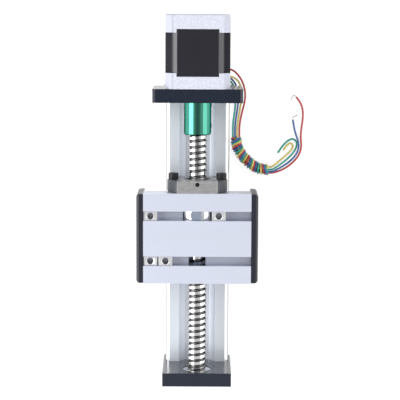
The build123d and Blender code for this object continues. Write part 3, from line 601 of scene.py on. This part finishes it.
def cut_socket(obj, across_flats, depth):
    """Sink a hexagon socket into a screw's head, whose upper face is at z = 0."""
    clear_selection()
    bpy.ops.mesh.primitive_cylinder_add(
        vertices=6, radius=across_flats / math.sqrt(3), depth=depth * 2, location=(0, 0, 0))
    cutter = bpy.context.active_object
    apply_modifier(obj, "BOOLEAN", operation="DIFFERENCE", object=cutter, solver="EXACT")
    clear_selection()
    bpy.data.objects.remove(cutter, do_unlink=True)


def socket_screw(name, head_radius, head, shank_radius, reach, socket):
    """A cap screw, its head's top at z = 0, with a knurled rim and a hexagon socket."""
    edge, rise, tip = head_radius * 0.07, head_radius * 0.05, shank_radius * 0.2
    obj = upright_bar(HEAD_SIDES, head_radius, head)
    obj.name = name
    switch_to("EDIT")
    choose(obj, "faces", lambda middle, normal: normal.z < -0.9)
    bpy.ops.mesh.inset(thickness=head_radius - shank_radius)
    bpy.ops.mesh.extrude_region_move(TRANSFORM_OT_translate={"value": (0, 0, -reach)})
    bpy.ops.mesh.inset(thickness=tip)
    bpy.ops.transform.translate(value=(0, 0, -tip))
    choose(obj, "faces", lambda middle, normal: normal.z > 0.9)
    bpy.ops.mesh.inset(thickness=edge)
    bpy.ops.transform.translate(value=(0, 0, rise))

    def valley(place, normal):
        turn = math.atan2(place.y, place.x) / (2 * math.pi) * HEAD_SIDES
        return math.hypot(place.x, place.y) > head_radius * 0.98 and round(turn) % 2

    def upper_rim(place, normal):
        return abs(place.z) < 1e-7 and math.hypot(place.x, place.y) > head_radius * 0.95

    choose(obj, "verts", valley)
    bpy.ops.transform.resize(value=(KNURL, KNURL, 1.0), center_override=(0, 0, -head / 2))
    choose(obj, "verts", lambda place, normal: place.z > 0)
    bpy.ops.transform.translate(value=(0, 0, -rise))
    choose(obj, "verts", upper_rim)
    bpy.ops.transform.translate(value=(0, 0, -edge))
    switch_to("OBJECT")
    cut_socket(obj, socket, head * 0.55)
    return obj


def place_copies(prototype, name, places):
    """Copies of a screw made at the origin, each set by its place and the way its head faces."""
    copies = []
    for place, facing in places:
        copy = prototype.copy()
        copy.data = prototype.data.copy()
        bpy.context.collection.objects.link(copy)
        turn = Vector((0, 0, 1)).rotation_difference(Vector(facing)).to_matrix().to_4x4()
        copy.matrix_world = Matrix.Translation(Vector(place)) @ turn
        copies.append(copy)
    bpy.data.objects.remove(prototype, do_unlink=True)
    obj = joined(name, copies)
    settle(obj)
    smooth(obj)
    return obj


def finish_piece(obj, finish, body, slot, *nodes):
    dress(obj, finish)
    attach(obj, body)
    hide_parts(*nodes)


FINISHES = {}


class STAGE_OT_camera(Operator):
    """Set the camera straight above the stage, tilted a little towards the motor"""
    bl_idname = "actuator.camera"
    bl_label = "Camera"

    def execute(self, context):
        data = bpy.data.cameras.new("camera")
        data.lens = 138.6
        data.sensor_width = 36.0
        data.clip_start = 0.01
        data.clip_end = 20.0
        camera = bpy.data.objects.new("camera", data)
        context.collection.objects.link(camera)
        right = Vector((0.99999, 0.00426, -0.00056)).normalized()
        back = Vector((0.0, 0.13003, 0.99151)).normalized()
        up = back.cross(right).normalized()
        right = up.cross(back)
        turn = Matrix((right, up, back)).transposed().to_4x4()
        place = Vector((0.001773, 0.13373, 1.05707))
        camera.matrix_world = Matrix.Translation(place) @ turn
        context.scene.camera = camera
        return {"FINISHED"}


def smooth_line(name, points, resolution):
    """A curve object with one smooth spline for the points."""
    data = bpy.data.curves.new(name, "CURVE")
    data.dimensions = "3D"
    spline = data.splines.new("NURBS")
    spline.points.add(len(points) - 1)
    for point, place in zip(spline.points, points):
        point.co = (*place, 1.0)
    spline.order_u = 3
    spline.use_endpoint_u = True
    data.resolution_u = resolution
    obj = bpy.data.objects.new(name, data)
    bpy.context.collection.objects.link(obj)
    return obj


def line_points(route):
    """Points along a route's smooth line, read from its own spline."""
    obj = smooth_line("middle_line", route, 24)
    data = obj.data
    bpy.context.view_layer.update()
    mesh = bpy.data.meshes.new_from_object(obj)
    points = [vertex.co.copy() for vertex in mesh.vertices]
    bpy.data.objects.remove(obj, do_unlink=True)
    bpy.data.curves.remove(data)
    bpy.data.meshes.remove(mesh)
    return points


class BundleLine:
    """The wound bundle's middle line, and places about it by distance, radius and angle."""

    def __init__(self):
        self.points = line_points(BUNDLE)
        self.distances = [0.0]
        for before, after in zip(self.points, self.points[1:]):
            self.distances.append(self.distances[-1] + (after - before).length)
        self.length = self.distances[-1]

    def at(self, distance, radius, angle):
        index = 0
        while index < len(self.points) - 2 and self.distances[index + 1] < distance:
            index += 1
        run = self.points[index + 1] - self.points[index]
        along = run.normalized()
        middle = self.points[index] + along * (distance - self.distances[index])
        side = Vector((0, 0, 1)).cross(along).normalized()
        turn = math.radians(angle)
        across = side * radius * math.cos(turn)
        return middle + across + along.cross(side) * -radius * math.sin(turn)


class LEADS_OT_motor_leads(Operator):
    """Lay the four motor leads, wound together on their way to four bare ends"""
    bl_idname = "actuator.motor_leads"
    bl_label = "Motor leads"

    def execute(self, context):
        settings = context.scene.actuator_leads
        bundle = BundleLine()
        end = bundle.length
        outer = WRAP_RADIUS * MM
        for colour in RUNS:
            enter = CORE_IN[colour]
            leave = CORE_OUT[colour]
            points = [Vector(place) for place in RUNS[colour]]
            for share in IN_SHARES:
                points.append(bundle.at(end * share, IN_RADIUS * MM, enter))
            for before, radius, past in FAR_TURN:
                points.append(bundle.at(end - before * MM, radius * MM, enter + past))
            turned = WRAP_START
            along = end - 0.4 * MM
            step = settings.wrap_pitch / STEPS_PER_WRAP
            # The wrap wanders along and towards the middle, as one wound by hand does
            while along > 1.0 * MM:
                sway = 0.55 * MM * math.sin(math.radians(0.37 * turned + enter))
                sink = 0.20 * MM * (1.0 + math.sin(math.radians(0.61 * turned + 2.0 * enter)))
                points.append(bundle.at(along + sway, outer - sink, enter + turned))
                along -= step
                turned += 360.0 / STEPS_PER_WRAP
            last = enter + turned
            rest = (leave - last) % 360.0
            for after, radius, share in NEAR_TURN:
                points.append(bundle.at(after * MM, radius * MM, last + rest * share))
            for share in OUT_SHARES:
                points.append(bundle.at(end * share, OUT_RADIUS * MM, leave))
            points += [Vector(place) for place in TAILS[colour]]
            obj = smooth_line(f"lead_{colour}", points, 5)
            obj.data.bevel_depth = settings.diameter / 2
            obj.data.bevel_resolution = 3
            obj.data.use_fill_caps = True
            nodes = [f"lead_{colour}_run", f"lead_{colour}_tail", "lead_bundle"]
            finish_piece(obj, lead_insulation(f"insulation_{colour}", getattr(settings, colour)),
                         "base", f"lead_{colour}", *nodes)
        return {"FINISHED"}


class SCREW_OT_thread(Operator):
    """Turn the ball screw with its rolled ball track"""
    bl_idname = "actuator.ball_screw"
    bl_label = "Ball screw"

    def execute(self, context):
        settings = context.scene.actuator_thread
        low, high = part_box("ball_screw")
        radius = (high[0] - low[0]) / 2
        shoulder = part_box("bearing_outer_ring")[1][1]
        thread_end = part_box("coupling")[0][1] - 0.2 * MM
        lead = settings.lead
        turns = math.ceil((thread_end - shoulder) / lead) + 2
        clear_selection()
        bpy.ops.mesh.primitive_plane_add(size=lead, location=(0, 0, 0))
        obj = context.active_object
        obj.name = "ball_screw_threaded"
        switch_to("EDIT")
        choose(obj, "verts", lambda place, normal: place.x > 0)
        bpy.ops.mesh.delete(type="VERT")
        choose(obj, "verts", lambda place, normal: True)
        bpy.ops.transform.translate(value=(radius + lead / 2, 0, 0))
        bpy.ops.mesh.subdivide(number_cuts=19)
        half = settings.groove_width / 2
        depth = settings.groove_depth
        mesh = bmesh.from_edit_mesh(obj.data)
        for vertex in mesh.verts:
            off = abs(vertex.co.y)
            if off < half:
                vertex.co.x -= depth * math.sqrt(1 - (off / half) ** 2)
        bmesh.update_edit_mesh(obj.data)
        switch_to("OBJECT")
        obj.location = (0, shoulder - lead, SCREW_HEIGHT)
        apply_modifier(obj, "SCREW", axis="Y", angle=2 * math.pi, screw_offset=lead,
                       iterations=turns, steps=36, render_steps=36, use_merge_vertices=True,
                       use_smooth_shade=True, use_normal_calculate=True)
        settle(obj)
        switch_to("EDIT")
        core = radius - depth
        taper = 0.4 * MM
        for far, side in ((shoulder, -1), (thread_end, 1)):
            cut = far - side * taper
            bpy.ops.mesh.select_all(action="SELECT")
            bpy.ops.mesh.bisect(
                plane_co=(0, cut, SCREW_HEIGHT), plane_no=(0, 1, 0), clear_inner=side < 0,
                clear_outer=side > 0)
            bpy.ops.mesh.extrude_region_move(TRANSFORM_OT_translate={"value": (0, far - cut, 0)})
            mesh = bmesh.from_edit_mesh(obj.data)
            for vertex in mesh.verts:
                if vertex.select:
                    away = Vector((vertex.co.x, 0, vertex.co.z - SCREW_HEIGHT))
                    away = away.normalized() * core
                    vertex.co = Vector((away.x, far, SCREW_HEIGHT + away.z))
            bmesh.update_edit_mesh(obj.data)
            bpy.ops.mesh.edge_face_add()
        close_up(1e-7)
        smooth(obj, 50)
        obj = joined(obj.name, [obj, *self.journals(low, high, shoulder, thread_end)])
        settle(obj)
        finish_piece(obj, FINISHES["screw_steel"], "spindle", "screw_steel", "ball_screw")
        return {"FINISHED"}

    def journals(self, low, high, shoulder, thread_end):
        """The bearing seat with its ring groove, and the plain end inside the coupling."""
        seat, chamfer = 5.0 * MM, 0.5 * MM
        end, end_chamfer = 4.0 * MM, 0.4 * MM
        groove = seat - 0.5 * MM
        groove_low, groove_high = (corner[1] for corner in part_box("screw_circlip"))
        groove_low -= 0.05 * MM
        bearing_end = [
            (0.0, low[1]), (seat - chamfer, low[1]), (seat, low[1] + chamfer), (seat, groove_low),
            (groove, groove_low), (groove, groove_high), (seat, groove_high), (seat, shoulder),
            (0.0, shoulder),
        ]
        motor_end = [
            (0.0, thread_end), (end, thread_end), (end, high[1] - end_chamfer),
            (end - end_chamfer, high[1]), (0.0, high[1]),
        ]
        return [turned_body("journal", profile) for profile in (bearing_end, motor_end)]


def turned_body(name, profile, sides=48):
    """A closed body turned about the screw's axis from a profile of radius and place along Y."""
    clear_selection()
    bpy.ops.mesh.primitive_plane_add(size=0.001, location=(0, 0, 0))
    obj = bpy.context.active_object
    obj.name = name
    switch_to("EDIT")
    bpy.ops.mesh.delete(type="VERT")
    mesh = bmesh.from_edit_mesh(obj.data)
    made = [mesh.verts.new((radius, along, SCREW_HEIGHT)) for radius, along in profile]
    for first, second in zip(made, made[1:]):
        mesh.edges.new((first, second))
    bmesh.update_edit_mesh(obj.data)
    bpy.ops.mesh.select_all(action="SELECT")
    bpy.ops.mesh.spin(steps=sides, angle=2 * math.pi, center=(0, 0, SCREW_HEIGHT), axis=(0, 1, 0))
    close_up(1e-6)
    smooth(obj, 30)
    return obj


class BEARING_OT_bearing(Operator):
    """Turn the bearing's two rings with chamfered corners, and press its shields"""
    bl_idname = "actuator.bearing"
    bl_label = "Bearing"

    def execute(self, context):
        back, front = (corner[1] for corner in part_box("bearing_outer_ring"))
        wall = 1.28 * MM
        rings = (
            ("outer_ring", "bearing_outer_ring", "base", 0.0, 0.35 * MM),
            ("inner_ring", "bearing_inner_ring", "spindle", 0.25 * MM, 0.0),
        )
        for name, node, body, inner_cut, outer_cut in rings:
            low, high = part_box(node)
            outer = (high[0] - low[0]) / 2
            inner = outer - wall
            profile = [
                (inner + inner_cut, back), (outer - outer_cut, back), (outer, back + outer_cut),
                (outer, front - outer_cut), (outer - outer_cut, front), (inner + inner_cut, front),
                (inner, front - inner_cut), (inner, back + inner_cut),
            ]
            ring = turned_body(name, profile + profile[:1])
            finish_piece(ring, FINISHES["bearing_steel"], body, "bearing_steel", node)
        shields = []
        for face, way in ((back, 1), (front, -1)):
            profile = [(radius * MM, face + way * inward * MM) for radius, inward in SHIELD]
            shields.append(turned_body("shield", profile + profile[:1]))
        obj = joined("pressed_shields", shields)
        finish_piece(obj, FINISHES["bearing_steel"], "base", "bearing_steel", "bearing_shields")
        return {"FINISHED"}


class SCREWS_OT_cap_screws(Operator):
    """Model the socket cap screws of the nut, the plates, the motor and the rollers"""
    bl_idname = "actuator.cap_screws"
    bl_label = "Cap screws"

    def execute(self, context):
        nut_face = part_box("nut_flange_screws")[1][1]
        # Node, piece, body, size, length below the head in millimetres, way it faces, places
        groups = (
            ("nut_flange_screws", "nut_screws", "carriage", M4, 17.2, (0, 1, 0),
             [(x * MM, nut_face, SCREW_HEIGHT) for x in NUT_SCREWS]),
            ("end_plate_screws", "end_screws", "base", M4, 16.8, (0, -1, 0),
             [(x * MM, END_FACE + SUNK, z * MM) for x, z in PLATE_SCREWS]),
            ("motor_plate_screws", "plate_screws", "base", M4, 16.8, (0, 1, 0),
             [(x * MM, MOTOR_FACE - SUNK, z * MM) for x, z in PLATE_SCREWS]),
            ("motor_mount_screws", "mount_screws", "base", M3, 9.4, (0, -1, 0),
             self.motor_corners(PLATE_FACE + SUNK)),
            ("roller_screws", "shoulder_screws", "carriage", SHOULDER,
             self.reach("roller_screws", 2) - SHOULDER[1], (0, 0, -1),
             self.lower_ends("roller_screws")),
            ("motor_tie_screws", "tie_screws", "base", M3,
             self.reach("motor_tie_screws", 1) - M3[1], (0, 1, 0),
             self.motor_corners(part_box("motor_tie_screws")[1][1])),
        )
        for node, name, body, size, reach, facing, places in groups:
            head_radius, head, shank, socket = (length * MM for length in size)
            proto = socket_screw(name, head_radius, head, shank, reach * MM, socket)
            obj = place_copies(proto, name, [(place, facing) for place in places])
            slot = SLOT_OF[node]
            finish_piece(obj, FINISHES[slot], body, slot, node)
        return {"FINISHED"}

    def reach(self, node, axis):
        """A node's full length along one axis, in millimetres."""
        low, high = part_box(node)
        return (high[axis] - low[axis]) / MM

    def motor_corners(self, along):
        """The motor's four screws, their heads' tops at this place along Y."""
        sides = (-MOTOR_CORNER, MOTOR_CORNER)
        return [(x * MM, along, SCREW_HEIGHT + z * MM) for x in sides for z in sides]

    def lower_ends(self, node):
        """The lower ends of the four upright shoulder screws, from the box round them."""
        low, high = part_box(node)
        inset = SHOULDER[0] * MM
        sides = [(low[axis] + inset, high[axis] - inset) for axis in (0, 1)]
        return [(x, y, low[2]) for x in sides[0] for y in sides[1]]


class SCREWS_OT_set_screws(Operator):
    """Model the coupling's four set screws with their sockets"""
    bl_idname = "actuator.set_screws"
    bl_label = "Set screws"

    def execute(self, context):
        low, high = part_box("coupling_set_screws")
        face = high[0]
        radius = 1.5 * MM
        made = []
        # One pair bears on the screw's end and the other on the motor's shaft
        for along, seat in ((low[1] + radius, 4.05 * MM), (high[1] - radius, 2.55 * MM)):
            proto = upright_bar(32, radius, face - seat)
            switch_to("EDIT")
            choose(proto, "faces", lambda middle, normal: abs(normal.z) > 0.9)
            bpy.ops.mesh.inset(thickness=0.25 * MM)
            switch_to("OBJECT")
            cut_socket(proto, across_flats=1.5 * MM, depth=1.3 * MM)
            places = [((face, along, SCREW_HEIGHT), (1, 0, 0)),
                      ((0, along, SCREW_HEIGHT - face), (0, 0, -1))]
            made.append(place_copies(proto, "set_screws", places))
        obj = joined("set_screws", made)
        finish_piece(obj, FINISHES["dark_screws"], "spindle", "dark_screws", "coupling_set_screws")
        return {"FINISHED"}


class SCREWS_OT_countersunk(Operator):
    """Model the end caps' countersunk screws with their sockets"""
    bl_idname = "actuator.countersunk_screws"
    bl_label = "Countersunk screws"

    def execute(self, context):
        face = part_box("cap_screws")[1][0]
        head_radius, head, shank_radius, shank = 2.9 * MM, 1.4 * MM, 1.5 * MM, 10.5 * MM
        proto = upright_bar(40, head_radius, head)
        switch_to("EDIT")
        choose(proto, "faces", lambda middle, normal: normal.z < -0.9)
        narrow = shank_radius / head_radius
        bpy.ops.transform.resize(value=(narrow, narrow, 1.0), center_override=(0, 0, -head))
        bpy.ops.mesh.extrude_region_move(TRANSFORM_OT_translate={"value": (0, 0, -shank)})
        choose(proto, "faces", lambda middle, normal: normal.z > 0.9)
        bpy.ops.mesh.inset(thickness=0.2 * MM)
        switch_to("OBJECT")
        cut_socket(proto, across_flats=2.0 * MM, depth=1.2 * MM)
        places = [((side * face, along * MM, CAP_SCREW_HEIGHT * MM), (side, 0, 0))
                  for side in (-1, 1) for along in CAP_SCREWS_ALONG]
        obj = place_copies(proto, "countersunk_screws", places)
        finish_piece(obj, FINISHES["dark_screws"], "carriage", "dark_screws", "cap_screws")
        return {"FINISHED"}


class SLOTS_OT_slot_nuts(Operator):
    """Break the edges of the slot nuts and chamfer their holes"""
    bl_idname = "actuator.slot_nuts"
    bl_label = "Slot nuts"

    def execute(self, context):
        for number in (1, 2, 3, 4):
            node = f"t_nut_{number}"
            obj = merged_copy(node, f"slot_nut_{number}_edged")
            low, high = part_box(node)
            middle = ((low[0] + high[0]) / 2, (low[1] + high[1]) / 2)
            switch_to("EDIT")

            def hole_rim(place, run):
                off = math.hypot(place.x - middle[0], place.y - middle[1])
                return place.z > high[2] - 1e-5 and 1.9 * MM < off < 2.2 * MM
            choose(obj, "edges", hole_rim)
            bpy.ops.mesh.bevel(offset=0.45 * MM, segments=1, affect="EDGES")
            switch_to("OBJECT")
            apply_modifier(obj, "BEVEL", width=0.25 * MM, segments=2, limit_method="ANGLE",
                           angle_limit=math.radians(50))
            smooth(obj)
            finish_piece(obj, slot_nut_steel(number), f"slot_nut_{number}", "slot_nut_steel", node)
        return {"FINISHED"}


def merged_copy(node, name):
    """A copy of a CAD node's mesh with its triangles merged into plain faces."""
    source = frame["nodes"][node]
    obj = bpy.data.objects.new(name, source.data.copy())
    bpy.context.collection.objects.link(obj)
    pick(obj)
    switch_to("EDIT")
    bpy.ops.mesh.select_all(action="SELECT")
    bpy.ops.mesh.remove_doubles(threshold=1e-6)
    bpy.ops.mesh.dissolve_limited(angle_limit=math.radians(1.0))
    bpy.ops.mesh.select_all(action="DESELECT")
    switch_to("OBJECT")
    return obj


class FINISH_OT_cad_nodes(Operator):
    """Give every part that stays as it was turned or milled its own finish"""
    bl_idname = "actuator.finishes"
    bl_label = "Finishes"

    def execute(self, context):
        for row in frame["record"]["subparts"]:
            node = frame["nodes"][row["node"]]
            if node.hide_render:
                continue
            slot = row["material_slot"]
            finish = FINISHES.get(row["node"], FINISHES.get(slot))
            if finish is None:
                raise RuntimeError(f"no finish for {slot}")
            dress(node, finish)
        return {"FINISHED"}


def make_finishes(context):
    colours = context.scene.actuator_finish
    steel = colours.polished_steel
    made = (
        drawn_metal(
            "clear_anodised", colours.clear_aluminium, 0.45, 0.30, "X", 700.0, 1, 0.012,
            slot_shade),
        blasted_metal(
            "black_anodised", colours.black_aluminium, 0.0, 0.24, 1600.0, 2, 0.20,
            Coat_Weight=0.28, Coat_Roughness=0.04),
        # The near-black edge tint paints a dark reflection on the sleeve's rims
        turned_metal(
            "green_anodised", colours.coupling_green, 1.0, 0.13, 3,
            Specular_Tint=(0.0, 0.04, 0.03, 1.0)),
        blasted_metal(
            "cast_aluminium", colours.cast_aluminium, 0.25, 0.66, 1500.0, 50, 0.18, corner_shade),
        nut_steel(),
        screw_steel(steel),
        drawn_metal(
            "rod_steel", tint(steel, 0.97), 1.0, 0.14, "Y", 1500.0, 2, 0.06,
            Specular_Tint=PAINTED_DARK_RIM),
        turned_metal("bearing_steel", steel, 1.0, 0.13, 3),
        turned_metal("wheel_steel", (0.46, 0.46, 0.46), 0.95, 0.22),
        turned_metal("rotor_iron", (0.20, 0.20, 0.21), 0.8, 0.35),
        blasted_metal("dark_screws", (0.022, 0.022, 0.024), 0.55, 0.33, 2200.0, 10, 0.3),
        blasted_metal("bright_screws", (0.55, 0.55, 0.53), 0.95, 0.25, 1400.0, 10, 0.12),
        blasted_metal("tinned", (0.62, 0.60, 0.55), 1.0, 0.22, 3000.0, 20, 0.2),
        moulded_plastic("cap_plastic", colours.cap_plastic, 0.34, 1500.0, 8),
        moulded_plastic("wiper_plastic", (0.012, 0.012, 0.013), 0.5),
        moulded_plastic("grommet_rubber", (0.012, 0.012, 0.012), 0.62, 2200.0),
    )
    FINISHES.update((finish.name, finish) for finish in made)
    # Finishes named otherwise than the slot or the node that wears them
    FINISHES.update({
        # The base wears the table's colour made brighter as painted light, and painted shade on
        # its channel walls
        "base_extrusion": drawn_metal(
            "base_anodised", tint(colours.clear_aluminium, 1.10), 0.40, 0.18, "Y", 700.0, 1, 0.015,
            channel_shade),
        "ball_return_plug": blasted_metal(
            "plug_steel", (0.46, 0.54, 0.66), 0.8, 0.32, 1300.0, 8, 0.10),
        "lamination": lamination_black(),
        "winding": copper_winding(),
    })


class STAGE_OT_studio(Operator):
    """Set the pale floor, the two soft boxes and the room"""
    bl_idname = "actuator.studio"
    bl_label = "Studio"

    def execute(self, context):
        settings = context.scene.actuator_studio
        clear_selection()
        bpy.ops.mesh.primitive_plane_add(size=6.0, location=(0, 0, -0.2 * MM))
        floor = context.active_object
        floor.name = "studio_floor"
        floor.data.materials.append(self.floor_material())
        self.soft_box("left_soft_box", -58.0, settings.left_light)
        self.soft_box("right_soft_box", 66.0, settings.right_light)
        self.room(context, settings.ambient)
        return {"FINISHED"}

    def floor_material(self):
        """Pale and shadowed for light, white for the camera and for what mirrors it."""
        material = bpy.data.materials.new("studio_floor")
        material.use_nodes = True
        graph = Graph(material.node_tree)
        graph.tree.nodes.clear()
        camera, glossy, through = graph.rays()
        seen = camera + glossy + through
        glow = graph.node("ShaderNodeEmission", {}, {"Strength": seen * 0.80})
        pale = graph.node("ShaderNodeBsdfDiffuse", {}, {"Color": (0.40, 0.40, 0.41)})
        both = graph.node("ShaderNodeAddShader", {}, {0: pale, 1: glow})
        graph.node("ShaderNodeOutputMaterial", {}, {"Surface": both}, None)
        return material

    def soft_box(self, name, lean, power):
        """A long soft box beside the stage, leaning this many degrees from straight up."""
        width, length, distance = 0.65, 1.8, 0.9
        data = bpy.data.lights.new(name, "AREA")
        data.shape = "RECTANGLE"
        data.size, data.size_y = width, length
        data.energy = power
        lamp = bpy.data.objects.new(name, data)
        bpy.context.collection.objects.link(lamp)
        turn = math.radians(lean)
        lamp.location = (distance * math.sin(turn), -0.02, 0.03 + distance * math.cos(turn))
        lamp.rotation_euler = (0.0, turn, 0.0)

    def room(self, context, ambient):
        """White for the camera, and for the object a room that is dim overhead and at its ends."""
        world = bpy.data.worlds.new("studio_room")
        world.use_nodes = True
        context.scene.world = world
        graph = Graph(world.node_tree)
        graph.tree.nodes.clear()
        way = graph.node("ShaderNodeTexCoord", {}, {}, "Generated")
        across, along, height = (
            graph.node("ShaderNodeSeparateXYZ", {}, {0: way}, axis) for axis in "XYZ")
        overhead = graph.band(across * across * 5.0 + along * along * 22.0, 1.3, 0.35)
        ends = graph.band(along * along, 0.16, 0.45)
        walls, drop = 0.90, 0.62
        shade = walls - overhead * drop - ends * drop
        camera, glossy, through = graph.rays()
        skyline = graph.band(height, 0.07, 0.01)
        room = graph.node("ShaderNodeBackground", {}, {"Strength": shade * ambient})
        white = graph.node("ShaderNodeBackground", {}, {"Color": (1.0, 1.0, 1.0)})
        seen = camera + (glossy + through) * skyline
        both = graph.node("ShaderNodeMixShader", {}, {0: seen, 1: room, 2: white})
        graph.node("ShaderNodeOutputWorld", {}, {"Surface": both}, None)


OPERATORS = (
    STAGE_OT_camera, LEADS_OT_motor_leads, SCREW_OT_thread, BEARING_OT_bearing,
    SCREWS_OT_cap_screws, SCREWS_OT_set_screws, SCREWS_OT_countersunk, SLOTS_OT_slot_nuts,
    FINISH_OT_cad_nodes, STAGE_OT_studio,
)
SETTINGS = {
    "actuator_studio": StudioSettings, "actuator_thread": ThreadSettings,
    "actuator_leads": LeadSettings, "actuator_finish": FinishSettings,
}


class VIEW3D_PT_ball_screw_stage(Panel):
    bl_label = "Ball screw stage"
    bl_space_type = "VIEW_3D"
    bl_region_type = "UI"
    bl_category = "Ball screw stage"

    def draw(self, context):
        for name, group in SETTINGS.items():
            box = self.layout.box()
            for setting in group.__annotations__:
                box.prop(getattr(context.scene, name), setting)
        for operator in OPERATORS:
            self.layout.operator(operator.bl_idname)


def register():
    for group in SETTINGS.values():
        bpy.utils.register_class(group)
    for operator in OPERATORS:
        bpy.utils.register_class(operator)
    bpy.utils.register_class(VIEW3D_PT_ball_screw_stage)
    for name, group in SETTINGS.items():
        setattr(bpy.types.Scene, name, PointerProperty(type=group))


def unregister():
    for name in SETTINGS:
        delattr(bpy.types.Scene, name)
    for kind in (VIEW3D_PT_ball_screw_stage, *reversed(OPERATORS), *SETTINGS.values()):
        bpy.utils.unregister_class(kind)


def main():
    register()
    scene = bpy.context.scene
    scene.view_settings.view_transform = "Standard"
    make_finishes(bpy.context)
    for operator in OPERATORS:
        group, name = operator.bl_idname.split(".")
        getattr(getattr(bpy.ops, group), name)()


if __name__ == "__main__":
    main()
